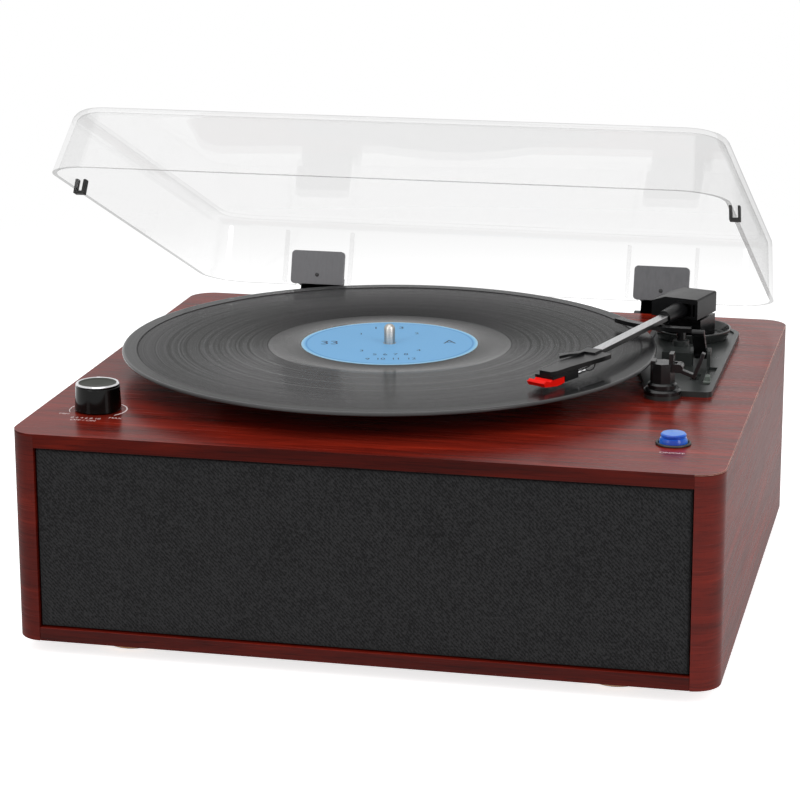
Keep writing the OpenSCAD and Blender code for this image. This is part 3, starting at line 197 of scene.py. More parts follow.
def tone_ramp(material, *stops):
    """A colour ramp with the given (position, colour) stops."""
    ramp = new_node(material, "ValToRGB")
    while len(ramp.color_ramp.elements) < len(stops):
        ramp.color_ramp.elements.new(1.0)
    for element, (position, colour) in zip(ramp.color_ramp.elements, stops):
        element.position, element.color = position, colour
    return ramp


def by_upright(material, upright, level):
    """One value on upright faces, another on level ones."""
    facing = new_node(material, "NewGeometry")
    upward = new_node(material, "VectorMath", {1: (0, 0, 1)}, operation="DOT_PRODUCT")
    part = new_node(material, "MapRange",
                    {"From Min": 0.2, "From Max": 0.8, "To Min": upright, "To Max": level})
    connect(material, (facing.outputs["Normal"], upward.inputs[0]),
            (upward.outputs["Value"], part.inputs["Value"]))
    return part.outputs["Result"]


def shade(material, factor):
    """Darkens a finish by a factor that changes from place to place."""
    colour = material.node_tree.nodes["Principled BSDF"].inputs["Base Color"]
    shaded = new_node(material, "MixRGB", {"Fac": 1.0}, blend_type="MULTIPLY")
    connect(material, (colour.links[0].from_socket, shaded.inputs[1]), (factor, shaded.inputs[2]),
            (shaded.outputs[0], colour))
    return material


def veneer(name, along, across, seed, lacquer, upright_shade, contrast):
    """Lacquered veneer: grain along one direction, figure across the other, and painted shade on upright
    faces.
    """
    material, shader = finish(name, Roughness=0.55, Specular_IOR_Level=0.0, Coat_Weight=lacquer,
                              Coat_IOR=1.5)
    place = new_node(material, "TexCoord")
    length = new_node(material, "VectorMath", {1: along}, operation="DOT_PRODUCT")
    width = new_node(material, "VectorMath", {1: across}, operation="DOT_PRODUCT")
    connect(material, (place.outputs["Object"], length.inputs[0]), (place.outputs["Object"], width.inputs[0]))

    def figure(stretch, scale, detail, distortion):
        wide = new_node(material, "Math", {1: stretch}, operation="MULTIPLY")
        laid = new_node(material, "CombineXYZ", {"Z": seed})
        noise = new_node(material, "TexNoise", {"Scale": scale, "Detail": detail, "Roughness": 0.6,
                                                "Distortion": distortion})
        connect(material, (width.outputs["Value"], wide.inputs[0]), (wide.outputs[0], laid.inputs["Y"]),
                (length.outputs["Value"], laid.inputs["X"]), (laid.outputs[0], noise.inputs["Vector"]))
        return noise.outputs["Fac"]

    plain = Vector((0.185, 0.0125, 0.0058))
    bands = tone_ramp(material, *((at, tuple(plain.lerp(Vector(tone), contrast)) + (1,)) for at, tone in (
        (0.30, (0.068, 0.0062, 0.0036)), (0.46, (0.150, 0.0105, 0.0052)),
        (0.60, (0.225, 0.0150, 0.0064)), (0.74, (0.400, 0.0290, 0.0105)))))
    streaks = tone_ramp(material, (0.34, (0.56, 0.50, 0.50, 1)), (0.52, (1, 1, 1, 1)))
    pores = tone_ramp(material, (0.36, (0.25, 0.22, 0.22, 1)), (0.43, (1, 1, 1, 1)))
    streaked = new_node(material, "MixRGB", {"Fac": 0.75 * contrast}, blend_type="MULTIPLY")
    pored = new_node(material, "MixRGB", {"Fac": 0.6 * contrast}, blend_type="MULTIPLY")
    pore_noise = figure(34.0, 48.0, 2.0, 0.0)
    relief = new_node(material, "Bump", {"Strength": 0.1, "Distance": 0.0001})
    streak_noise = figure(26.0, 20.0, 6.0, 0.5)
    haze = new_node(material, "MapRange", {"To Min": 0.16, "To Max": 0.34})
    connect(material, (figure(12.0, 7.0, 6.0, 0.8), bands.inputs["Fac"]),
            (streak_noise, streaks.inputs["Fac"]), (pore_noise, pores.inputs["Fac"]),
            (bands.outputs["Color"], streaked.inputs[1]),
            (streaks.outputs["Color"], streaked.inputs[2]), (streaked.outputs[0], pored.inputs[1]),
            (pores.outputs["Color"], pored.inputs[2]), (pored.outputs[0], shader.inputs["Base Color"]),
            (streak_noise, haze.inputs["Value"]), (haze.outputs["Result"], shader.inputs["Coat Roughness"]),
            (pore_noise, relief.inputs["Height"]), (relief.outputs["Normal"], shader.inputs["Normal"]))
    # Painted shade: the colour is darkened on upright faces, which take less of the light from above.
    return shade(material, by_upright(material, upright_shade, 1.0))


def dress(material, *names):
    """Puts a finish on CAD pieces."""
    for name in names:
        frame["nodes"][name].data.materials.clear()
        frame["nodes"][name].data.materials.append(material)


def ease(width, *names, steps=2):
    """Rounds the sharp edges of CAD pieces a little, as sanding or a mould leaves them."""
    for name in names:
        piece = frame["nodes"][name]
        split = piece.data.attributes.get("custom_normal")
        if split:
            piece.data.attributes.remove(split)
        piece.data.shade_smooth()
        joined = piece.modifiers.new("joined faces", "WELD")
        joined.merge_threshold = 1e-6
        edge = piece.modifiers.new("eased edges", "BEVEL")
        edge.width, edge.segments = width, steps
        edge.limit_method, edge.angle_limit = "ANGLE", math.radians(30)
        edge.harden_normals = True


deck_veneer = veneer("deck_veneer", (1, 0, 0), (0, 1, 1), 1.7, 0.5, 0.4, 0.8)
deck_place = new_node(deck_veneer, "TexCoord")
deck_way = new_node(deck_veneer, "VectorMath", {1: (1, 0, 0)}, operation="DOT_PRODUCT")
deck_polish = new_node(deck_veneer, "MapRange",
                       {"From Min": 0.02, "From Max": 0.16, "To Min": 0.48, "To Max": 0.72})
deck_coat = new_node(deck_veneer, "Math", operation="MULTIPLY")
connect(deck_veneer, (deck_place.outputs["Object"], deck_way.inputs[0]),
        (deck_way.outputs["Value"], deck_polish.inputs["Value"]),
        (deck_polish.outputs["Result"], deck_coat.inputs[0]),
        (by_upright(deck_veneer, 0.25, 1.0), deck_coat.inputs[1]),
        (deck_coat.outputs[0], deck_veneer.node_tree.nodes["Principled BSDF"].inputs["Coat Weight"]))
dress(deck_veneer, "deck_panel")
dress(veneer("left_veneer", (1, -1, 0), (0, 0, 1), 4.1, 0.2, 0.55, 0.7), "left_side_panel")
dress(veneer("right_veneer", (1, 1, 0), (0, 0, 1), 7.3, 0.3, 0.7, 0.6), "right_side_panel")
dress(veneer("rail_veneer", (1, 0, 0), (0, 1, 1), 9.9, 0.2, 0.4, 0.8), "bottom_panel")
ease(0.0005, "deck_panel", "left_side_panel", "right_side_panel", "bottom_panel")

# The deck's sanded edge with a painted highlight: a pale wood-coloured line where the top skin meets the
# right side and turns the front corner, under the lacquer, standing for the light that the edge catches
# there.
deck_low, deck_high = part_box("deck_panel")
corner_r, edge_r, edge_lift = 0.0145, 0.0005, 0.00004
straight = deck_low.y - deck_high.y + 2 * corner_r
edge_path = [(Vector((deck_high.x, deck_high.y - corner_r + straight * f, 0)), Vector((1, 0, 0)))
             for f in (0, 0.25, 0.5, 0.75)]
edge_path += [(Vector((deck_high.x - corner_r, deck_low.y + corner_r, 0)) + corner_r * way, way)
              for way in (Vector((math.cos(t), -math.sin(t), 0))
                          for t in (math.pi / 2 * i / 12 for i in range(13)))]


def add_piece(name, mesh, body, *materials):
    """A new piece from its mesh, dressed and fixed to the body that it moves with."""
    data = bpy.data.meshes.new(name)
    mesh.to_mesh(data)
    mesh.free()
    for material in materials:
        data.materials.append(material)
    piece = bpy.data.objects.new(name, data)
    scene.collection.objects.link(piece)
    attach(piece, body)
    return piece


def skin(mesh, rings, smooth=True):
    """Faces between neighbouring rows of points."""
    rows = [[mesh.verts.new(p) for p in ring] for ring in rings]
    for one, two in zip(rows, rows[1:]):
        for a, b, c, d in zip(one, one[1:], two[1:], two):
            mesh.faces.new((a, b, c, d)).smooth = smooth


edge_mesh = bmesh.new()
skin(edge_mesh, [[p - way * edge_r + Vector((0, 0, deck_high.z - edge_r)) + (edge_r + edge_lift) * (
    way * math.cos(t) + Vector((0, 0, math.sin(t)))) for t in (math.pi / 2 * i / 5 for i in range(6))]
    for p, way in edge_path])
# Painted highlight: pale tan tones for the line along the edge.
edge_highlight_wood, edge_highlight_shader = finish("edge_highlight_wood", Roughness=0.5, Coat_Weight=0.4, Coat_Roughness=0.15)
edge_highlight_place = new_node(edge_highlight_wood, "TexCoord")
edge_highlight_grain = new_node(edge_highlight_wood, "TexNoise", {"Scale": 160.0, "Detail": 4.0})
edge_highlight_tone = tone_ramp(edge_highlight_wood, (0.3, srgb(150, 88, 70)), (0.7, srgb(205, 150, 128)))
connect(edge_highlight_wood, (edge_highlight_place.outputs["Object"], edge_highlight_grain.inputs["Vector"]),
        (edge_highlight_grain.outputs["Fac"], edge_highlight_tone.inputs["Fac"]),
        (edge_highlight_tone.outputs["Color"], edge_highlight_shader.inputs["Base Color"]))
add_piece("deck_edge_highlight", edge_mesh, "cabinet", edge_highlight_wood)

# The deck's print: a pale open ring that swells towards loud round the knob, and plain words by the knob
# and the button, screen-printed over the lacquer.
print_ink = finish("print_ink", Roughness=0.5)[0]
ink_place = new_node(print_ink, "TexCoord")
ink_cover = new_node(print_ink, "TexNoise", {"Scale": 2500.0, "Detail": 2.0})
ink_tone = tone_ramp(print_ink, (0.35, srgb(222, 188, 186)), (0.6, srgb(252, 240, 238)))
connect(print_ink, (ink_place.outputs["Object"], ink_cover.inputs["Vector"]),
        (ink_cover.outputs["Fac"], ink_tone.inputs["Fac"]),
        (ink_tone.outputs["Color"], print_ink.node_tree.nodes["Principled BSDF"].inputs["Base Color"]))


def letters(mesh, words, size, place, turn=0.0):
    """Adds flat letters to a mesh, centred on a place."""
    curve = bpy.data.curves.new("words", "FONT")
    curve.body, curve.size, curve.align_x, curve.align_y = words, size, "CENTER", "CENTER"
    holder = bpy.data.objects.new("words", curve)
    flat = bpy.data.meshes.new_from_object(holder)
    flat.transform(Matrix.Translation(place) @ Matrix.Rotation(turn, 4, "Z"))
    mesh.from_mesh(flat)
    for used, store in ((holder, bpy.data.objects), (curve, bpy.data.curves), (flat, bpy.data.meshes)):
        store.remove(used)


print_z = deck_high.z + 0.00005
knob_at, ring_r = Vector((-0.1553, -0.128, print_z)), 0.0154
deck_print = bmesh.new()
ring_sides = [[knob_at + (ring_r + side * (0.0002 + 0.0003 * f)) * Vector((math.cos(t), math.sin(t), 0))
               for side in (1, -1)]
              for f, t in ((1 - i / 60, math.radians(-38 + 250 * i / 60)) for i in range(61))]
skin(deck_print, ring_sides, smooth=False)
for words, size, x, y in (("MIN", 0.0032, -0.1705, -0.1398), ("MAX", 0.0034, -0.1408, -0.1428),
                          ("0 2 4 6 8 10", 0.0034, -0.1563, -0.1460),
                          ("OFF / ON", 0.0034, -0.1563, -0.1503), ("ON/OFF", 0.0036, 0.1569, -0.1458)):
    letters(deck_print, words, size, (x, y, print_z))
add_piece("deck_print", deck_print, "cabinet", print_ink)

# The back board and the baffle behind the grille: pressed board painted dark, a little rough to the
# touch. Cross-head screws hold the back on and fix the fittings from below the deck.


def moulded(name, colour, roughness, grain=0.0006, depth=0.15, uneven=0.12, **values):
    """A moulded or painted surface: fine grain in relief, and a slightly uneven gloss and tone."""
    material, shader = finish(name, **values)
    place = new_node(material, "TexCoord")
    fine = new_node(material, "TexNoise", {"Scale": 1 / grain, "Detail": 2.0})
    broad = new_node(material, "TexNoise", {"Scale": 90.0, "Detail": 4.0})
    tone = tone_ramp(material, (0.3, tuple(c * (1 - uneven) for c in colour[:3]) + (1,)),
                     (0.7, tuple(min(1, c * (1 + uneven)) for c in colour[:3]) + (1,)))
    gloss = new_node(material, "MapRange", {"To Min": roughness * 0.8, "To Max": min(1.0, roughness * 1.2)})
    relief = new_node(material, "Bump", {"Strength": depth, "Distance": grain / 4})
    connect(material, (place.outputs["Object"], fine.inputs["Vector"]),
            (place.outputs["Object"], broad.inputs["Vector"]),
            (broad.outputs["Fac"], tone.inputs["Fac"]), (tone.outputs["Color"], shader.inputs["Base Color"]),
            (broad.outputs["Fac"], gloss.inputs["Value"]),
            (gloss.outputs["Result"], shader.inputs["Roughness"]),
            (fine.outputs["Fac"], relief.inputs["Height"]),
            (relief.outputs["Normal"], shader.inputs["Normal"]))
    return material


painted_board = moulded("painted_board", srgb(52, 48, 46), 0.62, 0.0015, 0.5, 0.2)
dress(painted_board, "back_panel", "baffle_board")


def brushed(name, colour, roughness, run, **values):
    """Metal brushed along one direction: hairlines in tone, gloss and relief."""
    material, shader = finish(name, Metallic=1.0, **values)
    place = new_node(material, "TexCoord")
    laid = new_node(material, "Mapping", {"Scale": run})
    lines = new_node(material, "TexNoise", {"Scale": 1.0, "Detail": 3.0})
    tone = tone_ramp(material, (0.3, tuple(c * 0.8 for c in colour[:3]) + (1,)), (0.7, colour))
    gloss = new_node(material, "MapRange", {"To Min": roughness * 0.7, "To Max": min(1.0, roughness * 1.3)})
    relief = new_node(material, "Bump", {"Strength": 0.15, "Distance": 0.00005})
    connect(material, (place.outputs["Object"], laid.inputs["Vector"]),
            (laid.outputs["Vector"], lines.inputs["Vector"]),
            (lines.outputs["Fac"], tone.inputs["Fac"]), (tone.outputs["Color"], shader.inputs["Base Color"]),
            (lines.outputs["Fac"], gloss.inputs["Value"]),
            (gloss.outputs["Result"], shader.inputs["Roughness"]),
            (lines.outputs["Fac"], relief.inputs["Height"]),
            (relief.outputs["Normal"], shader.inputs["Normal"]))
    return material


dark_screw = brushed("dark_screw", srgb(70, 70, 72), 0.4, (900, 900, 900))
dress(dark_screw, "panel_screws", "deck_screws")
ease(0.0003, "panel_screws")
screw_faces = [(side * 0.164, 0.158, z) for side in (-1, 1) for z in (0.0245, 0.065, 0.1055)]
screw_faces += [(side * 0.109, 0.161, z) for side in (-1, 1) for z in (0.080, 0.092)]
slot_long, slot_half, slot_lift = 0.0017, 0.00038, 0.00004
# Painted shade: flat dark crosses on the screw heads stand for the shade inside their cross recesses.
recess_shade = bmesh.new()
for x, y, z in screw_faces:
    outline = [(slot_half, slot_half), (slot_half, slot_long), (-slot_half, slot_long)]
    outline = [(a * math.cos(t) - b * math.sin(t), a * math.sin(t) + b * math.cos(t))
               for t in (math.pi / 2 * i for i in range(4)) for a, b in outline]
    recess_shade.faces.new([recess_shade.verts.new((x - a, y + slot_lift, z + b)) for a, b in outline])
add_piece("screw_crosses", recess_shade, "cabinet", moulded("shadow_black", srgb(12, 12, 12), 0.7))

# The speaker front: black cloth woven in a fine twill, stretched over a frame and wrapped round its
# edges. Behind it, two paper-coned loudspeakers with pressed baskets are screwed to the baffle.
cloth_low, cloth_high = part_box("grille_cloth")
wrap, roll_r, roll_steps = 0.004, 0.0012, 4


def cloth_section(low, high, cells):
    """Points across the cloth, as (place, depth) pairs: back edge, rolled corner, face, and so back."""
    rim = [(low, wrap)]
    rim += [(low + roll_r * (1 - math.cos(t)), roll_r * (1 - math.sin(t)))
            for t in (math.pi / 2 * i / roll_steps for i in range(roll_steps + 1))]
    face = [(low + roll_r + (high - low - 2 * roll_r) * i / cells, 0.0) for i in range(1, cells)]
    return rim + face + [(low + high - p, d) for p, d in reversed(rim)]


columns = cloth_section(cloth_low.x, cloth_high.x, 60)
rows = cloth_section(cloth_low.z, cloth_high.z, 20)
cloth_mesh = bmesh.new()
cloth_points = [[cloth_mesh.verts.new((x, cloth_low.y + max(dx, dz), z)) for x, dx in columns]
                for z, dz in rows]
for lower, upper in zip(cloth_points, cloth_points[1:]):
    for i in range(len(columns) - 1):
        cloth_mesh.faces.new((lower[i], lower[i + 1], upper[i + 1], upper[i]))
for face in cloth_mesh.faces:
    face.smooth = True
cloth_data = bpy.data.meshes.new("grille_fabric")
cloth_mesh.to_mesh(cloth_data)
cloth_mesh.free()
grille_fabric = bpy.data.objects.new("grille_fabric", cloth_data)
scene.collection.objects.link(grille_fabric)

twill, twill_shader = finish("black_twill", Roughness=0.85, Specular_IOR_Level=0.15, Sheen_Weight=0.06,
                             Sheen_Roughness=0.5)
twill_place = new_node(twill, "TexCoord")
twill_lines = new_node(twill, "TexWave",
                       {"Scale": 290.0, "Distortion": 2.2, "Detail": 2.0, "Detail Scale": 2.5},
                       bands_direction="DIAGONAL")
twill_threads = new_node(twill, "TexWave",
                         {"Scale": 450.0, "Distortion": 1.5, "Detail": 2.0, "Detail Scale": 2.5},
                         bands_direction="X")
twill_yarn = new_node(twill, "TexNoise", {"Scale": 850.0, "Detail": 3.0})
twill_cloud = new_node(twill, "TexNoise", {"Scale": 40.0, "Detail": 3.0})
twill_sum = new_node(twill, "Math", operation="MULTIPLY_ADD")
twill_mix = new_node(twill, "Math", operation="MULTIPLY")
twill_tone = tone_ramp(twill, (0.2, srgb(4, 4, 5)), (0.5, srgb(19, 19, 20)), (0.8, srgb(47, 47, 48)))
twill_relief = new_node(twill, "Bump", {"Strength": 0.6, "Distance": 0.0003})
connect(twill, (twill_place.outputs["Object"], twill_lines.inputs["Vector"]),
        (twill_place.outputs["Object"], twill_threads.inputs["Vector"]),
        (twill_place.outputs["Object"], twill_yarn.inputs["Vector"]),
        (twill_place.outputs["Object"], twill_cloud.inputs["Vector"]),
        (twill_lines.outputs["Fac"], twill_mix.inputs[0]),
        (twill_threads.outputs["Fac"], twill_mix.inputs[1]),
        (twill_mix.outputs[0], twill_sum.inputs[0]), (twill_cloud.outputs["Fac"], twill_sum.inputs[1]),
        (twill_yarn.outputs["Fac"], twill_sum.inputs[2]), (twill_sum.outputs[0], twill_tone.inputs["Fac"]),
        (twill_tone.outputs["Color"], twill_shader.inputs["Base Color"]),
        (twill_sum.outputs[0], twill_relief.inputs["Height"]),
        (twill_relief.outputs["Normal"], twill_shader.inputs["Normal"]))
cloth_data.materials.append(twill)
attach(grille_fabric, "cabinet")
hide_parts("grille_cloth")

satin_black = moulded("satin_black", srgb(30, 30, 31), 0.42, 0.0005, 0.12)
dress(satin_black, "grille_frame")
speaker_paper = moulded("speaker_paper", srgb(26, 26, 27), 0.8, 0.0012, 0.6)
dress(speaker_paper, "left_speaker_cone", "right_speaker_cone")
pressed_steel = brushed("pressed_steel", srgb(64, 64, 66), 0.45, (60, 60, 700))
dress(pressed_steel, "left_speaker_basket", "right_speaker_basket")
dress(moulded("ferrite", srgb(58, 58, 60), 0.7, 0.001, 0.4), "left_speaker_magnet", "right_speaker_magnet")

# The feet: four, turned from beige plastic and screwed under the bottom board. Each has a black rubber
# pad let into its underside.
dress(moulded("foot_beige", srgb(238, 178, 112), 0.45, 0.0008, 0.1), "feet")
ease(0.0005, "feet")
soft_rubber = moulded("soft_rubber", srgb(26, 26, 26), 0.75, 0.0008, 0.4)
dress(soft_rubber, "foot_pads")

# The drive inside: a circuit board, a can motor with its pulley and rubber belt, and the bearing that
# the platter's spindle turns in. The platter is moulded, with a felt-like rubber mat on it.
dress(moulded("circuit_green", srgb(34, 92, 58), 0.4, 0.002, 0.3), "circuit_board")
bright_steel = brushed("bright_steel", srgb(205, 206, 208), 0.22, (200, 200, 1500))
dress(bright_steel, "motor", "motor_shaft", "volume_pot", "hinge_pins")
dress(brushed("bearing_bronze", srgb(190, 150, 92), 0.35, (300, 300, 900)), "bearing_bush", "motor_pulley")
dress(satin_black, "bearing_housing", "platter", "button_switch")
dress(soft_rubber, "drive_belt", "slip_mat")
ease(0.0006, "platter")

# The record: pressed black vinyl. A raised rim, tracks of fine grooves parted by smooth bands, and a
# plain run-out round the label. The grooves drag the reflections into streaks round the middle.
record_low, record_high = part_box("record")
record_mid = (record_low + record_high) / 2


def rings_from_middle(material):
    """Places measured from the record's middle, and the distance from it in metres."""
    place = new_node(material, "TexCoord")
    moved = new_node(material, "Mapping", {"Location": (-record_mid.x, -record_mid.y, 0), "Scale": (1, 1, 0)})
    reach = new_node(material, "VectorMath", operation="LENGTH")
    connect(material, (place.outputs["Object"], moved.inputs["Vector"]),
            (moved.outputs["Vector"], reach.inputs[0]))
    return moved.outputs["Vector"], reach.outputs["Value"]


vinyl, vinyl_shader = finish("grooved_vinyl", Anisotropic=0.3)
vinyl_place, vinyl_reach = rings_from_middle(vinyl)
label_edge, record_edge = 0.050, 0.151
groove_from, groove_to, rim_from, rim_to = 0.069, 0.1425, 0.1432, 0.1495
track_gaps = (0.0785, 0.0915, 0.1050, 0.1190, 0.1315)


def vinyl_zones(run_out, track, gap, dark, rim, lip):
    """A grey level for each zone of the record, by the distance from its middle."""
    stops = [(label_edge, run_out), (groove_from - 0.0004, run_out), (groove_from, dark),
             (groove_from + 0.0006, track)]
    for at in track_gaps:
        stops += [(at - 0.0003, track), (at, gap), (at + 0.0006, gap), (at + 0.0009, track)]
    stops += [(groove_to, track), (groove_to + 0.0002, dark), (rim_from, rim), (rim_to, rim),
              (rim_to + 0.0006, lip)]
    spread = new_node(vinyl, "MapRange", {"From Min": label_edge, "From Max": record_edge})
    width = record_edge - label_edge
    ramp = tone_ramp(vinyl, *(((at - label_edge) / width, (level,) * 3 + (1,)) for at, level in stops))
    connect(vinyl, (vinyl_reach, spread.inputs["Value"]), (spread.outputs["Result"], ramp.inputs["Fac"]))
    return ramp.outputs["Color"]


groove_lines = new_node(vinyl, "TexWave", {"Scale": 520.0, "Distortion": 0.0}, wave_type="RINGS",
                        rings_direction="Z")
track_noise = new_node(vinyl, "TexNoise", {"Scale": 420.0, "Detail": 4.0, "Roughness": 0.65},
                       noise_dimensions="1D")
track_sheen = new_node(vinyl, "MapRange", {"From Min": 0.3, "From Max": 0.7})
vinyl_sheen = new_node(vinyl, "Math", operation="MULTIPLY_ADD")
groove_depth = new_node(vinyl, "Math", operation="MULTIPLY")
groove_relief = new_node(vinyl, "Bump", {"Strength": 0.2, "Distance": 0.0001})
vinyl_gloss = new_node(vinyl, "MapRange", {"To Min": 0.12, "To Max": 0.24})
vinyl_tone = tone_ramp(vinyl, (0.35, srgb(14, 14, 15)), (0.65, srgb(26, 26, 27)))
# Painted highlight: grey added to the colour on the rim, and more on its outer lip, where the edge catches
# the light.
rim_painted_highlight = new_node(vinyl, "MixRGB", {"Fac": 1.0}, blend_type="ADD")
vinyl_tangent = new_node(vinyl, "Tangent", direction_type="RADIAL", axis="Z")
connect(vinyl, (vinyl_place, groove_lines.inputs["Vector"]), (vinyl_reach, track_noise.inputs["W"]),
        (groove_lines.outputs["Fac"], groove_depth.inputs[0]),
        (vinyl_zones(0.0, 1.0, 0.1, 0.2, 0.0, 0.0), groove_depth.inputs[1]),
        (groove_depth.outputs[0], groove_relief.inputs["Height"]),
        (groove_relief.outputs["Normal"], vinyl_shader.inputs["Normal"]),
        (track_noise.outputs["Fac"], track_sheen.inputs["Value"]),
        (track_sheen.outputs["Result"], vinyl_sheen.inputs[0]),
        (vinyl_zones(0.0, 0.034, 0.01, 0.0, 0.02, 0.0), vinyl_sheen.inputs[1]),
        (vinyl_zones(0.14, 0.018, 0.05, 0.002, 0.06, 0.2), vinyl_sheen.inputs[2]),
        (vinyl_sheen.outputs[0], vinyl_shader.inputs["Specular IOR Level"]),
        (track_noise.outputs["Fac"], vinyl_tone.inputs["Fac"]),
        (vinyl_tone.outputs["Color"], rim_painted_highlight.inputs[1]),
        (vinyl_zones(0.0, 0.0, 0.0, 0.0, 0.004, 0.06), rim_painted_highlight.inputs[2]),
        (rim_painted_highlight.outputs[0], vinyl_shader.inputs["Base Color"]),
        (track_noise.outputs["Fac"], vinyl_gloss.inputs["Value"]),
        (vinyl_gloss.outputs["Result"], vinyl_shader.inputs["Roughness"]),
        (vinyl_tangent.outputs["Tangent"], vinyl_shader.inputs["Tangent"]))
dress(vinyl, "record")
ease(0.0003, "record")

# The record's label: light blue paper pressed into the vinyl, with a paler edge. The spindle through
# it is turned from bright steel and polished.
label, label_shader = finish("label_blue", Specular_IOR_Level=0.35)
label_place, label_reach = rings_from_middle(label)
label_rings = new_node(label, "MapRange", {"From Min": 0.0, "From Max": label_edge})
label_tone = tone_ramp(label, (0.0, srgb(118, 180, 228)), (0.93, srgb(118, 180, 228)),
                       (0.945, srgb(72, 142, 204)), (0.96, srgb(120, 186, 232)),
                       (1.0, srgb(170, 214, 240)))
label_fibre = new_node(label, "TexNoise", {"Scale": 700.0, "Detail": 3.0})
label_gloss = new_node(label, "MapRange", {"To Min": 0.45, "To Max": 0.65})
label_relief = new_node(label, "Bump", {"Strength": 0.2, "Distance": 0.0001})
connect(label, (label_reach, label_rings.inputs["Value"]),
        (label_rings.outputs["Result"], label_tone.inputs["Fac"]),
        (label_tone.outputs["Color"], label_shader.inputs["Base Color"]),
        (label_place, label_fibre.inputs["Vector"]),
        (label_fibre.outputs["Fac"], label_gloss.inputs["Value"]),
        (label_gloss.outputs["Result"], label_shader.inputs["Roughness"]),
        (label_fibre.outputs["Fac"], label_relief.inputs["Height"]),
        (label_relief.outputs["Normal"], label_shader.inputs["Normal"]))
dress(label, "record_label")
label_print, label_turn = bmesh.new(), math.radians(14)
label_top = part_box("record_label")[1].z + 0.00004
for words, size, x, y in (("33", 0.011, -0.034, 0.001), ("A", 0.011, 0.034, 0.001),
                          ("1  2  3", 0.007, 0.0, 0.036), ("1", 0.0055, -0.016, 0.022),
                          ("2", 0.0055, 0.016, 0.022), ("3", 0.0055, -0.016, -0.018),
                          ("4", 0.0055, 0.016, -0.018), ("5  6  7  8", 0.0055, 0.0, -0.027),
                          ("9  10  11  12", 0.0055, 0.0, -0.037)):
    turned = Matrix.Rotation(label_turn, 3, "Z") @ Vector((x, y, 0))
    letters(label_print, words, size, (record_mid.x + turned.x, record_mid.y + turned.y, label_top),
            label_turn)
add_piece("label_print", label_print, "turntable", moulded("label_ink", srgb(34, 62, 96), 0.6))
turned_steel = brushed("turned_steel", srgb(214, 212, 208), 0.36, (200, 200, 2500))
# Painted highlight and painted shade: the steel's colour is lighter and darker by how squarely each part
# faces the eye.
spindle_facing = new_node(turned_steel, "LayerWeight", {"Blend": 0.5})
spindle_painted_light = tone_ramp(turned_steel, (0.0, (1, 1, 1, 1)), (0.35, (0.55, 0.54, 0.52, 1)),
                         (0.6, (0.9, 0.9, 0.9, 1)), (0.9, (0.16, 0.15, 0.14, 1)))
connect(turned_steel, (spindle_facing.outputs["Facing"], spindle_painted_light.inputs["Fac"]))
dress(shade(turned_steel, spindle_painted_light.outputs["Color"]), "spindle")
ease(0.0003, "spindle")

# The tonearm's fittings: base plate, collar, turret, block, lift and rest are moulded in dark grey and
# black plastic with lightly grained faces and eased edges.
dress(moulded("plate_grey", srgb(42, 45, 44), 0.3, 0.0005, 0.2, Specular_IOR_Level=0.35), "arm_plate")
dress(moulded("rest_black", srgb(13, 13, 14), 0.24, 0.0005, 0.1, Specular_IOR_Level=0.4),
      "arm_rest", "arm_clip")
ease(0.0004, "arm_plate", "arm_rest", "arm_clip")
dress(moulded("collar_grey", srgb(40, 42, 41), 0.16, 0.0005, 0.05, Specular_IOR_Level=0.6), "arm_collar")
ease(0.0004, "arm_collar")
dress(moulded("gloss_mould", srgb(9, 9, 10), 0.24, 0.0005, 0.1, Specular_IOR_Level=0.3),
      "arm_turret", "lift_platform", "stop_slider", "cue_lever")
dress(moulded("slider_grey", srgb(104, 112, 106), 0.4, 0.0005, 0.1), "speed_slider")
ease(0.0005, "arm_turret", "lift_platform", "speed_slider", "stop_slider")
dress(moulded("block_grey", srgb(18, 18, 19), 0.3, 0.0005, 0.15, Specular_IOR_Level=0.12), "arm_block")
ease(0.0005, "arm_block", "cue_lever")

# The arm itself: a flat drawn aluminium tube with a dark headshell on its end. The cartridge clips
# under the headshell, and its red stylus block slides on from the front.
drawn_aluminium = brushed("drawn_aluminium", srgb(206, 206, 207), 0.34, (700, 60, 1200))
# Painted shade: the colour of the tube's upright sides is darkened, standing for the dark things they
# reflect.
dress(shade(drawn_aluminium, by_upright(drawn_aluminium, 0.12, 1.0)), "arm_tube")
ease(0.0004, "arm_tube")
dress(moulded("shell_grey", srgb(16, 16, 17), 0.3, 0.0004, 0.1, Specular_IOR_Level=0.2),
      "headshell", "finger_lift")
ease(0.0004, "headshell", "finger_lift")
dress(moulded("cartridge_black", srgb(13, 13, 14), 0.35, 0.0004, 0.1, Specular_IOR_Level=0.2), "cartridge")
ease(0.0003, "cartridge")
dress(moulded("stylus_red", srgb(255, 22, 12), 0.3, 0.0005, 0.05, Specular_IOR_Level=0.1), "stylus")
ease(0.0003, "stylus")

# The cartridge's wires: four silver clips pushed onto its pins, each crimped on a thin black wire that
# loops up under the headshell to the tube.
arm_pivot, shell_start = Vector((0.137, 0.096, 0)), Vector((0.0055, -0.137, 0))
arm_heading, shell_turn = math.radians(-16), math.radians(-10)
shell_at = (Matrix.Translation(arm_pivot) @ Matrix.Rotation(arm_heading, 4, "Z")
            @ Matrix.Translation(shell_start) @ Matrix.Rotation(shell_turn, 4, "Z"))
pin_z, wire_r = 0.1411, 0.00035
clip_shape = ((-0.0316, 0.0009), (-0.0312, 0.0012), (-0.0282, 0.0012), (-0.0276, 0.0008),
              (-0.0262, 0.0008), (-0.0256, 0.0011), (-0.0244, 0.0011), (-0.0240, 0.0007))


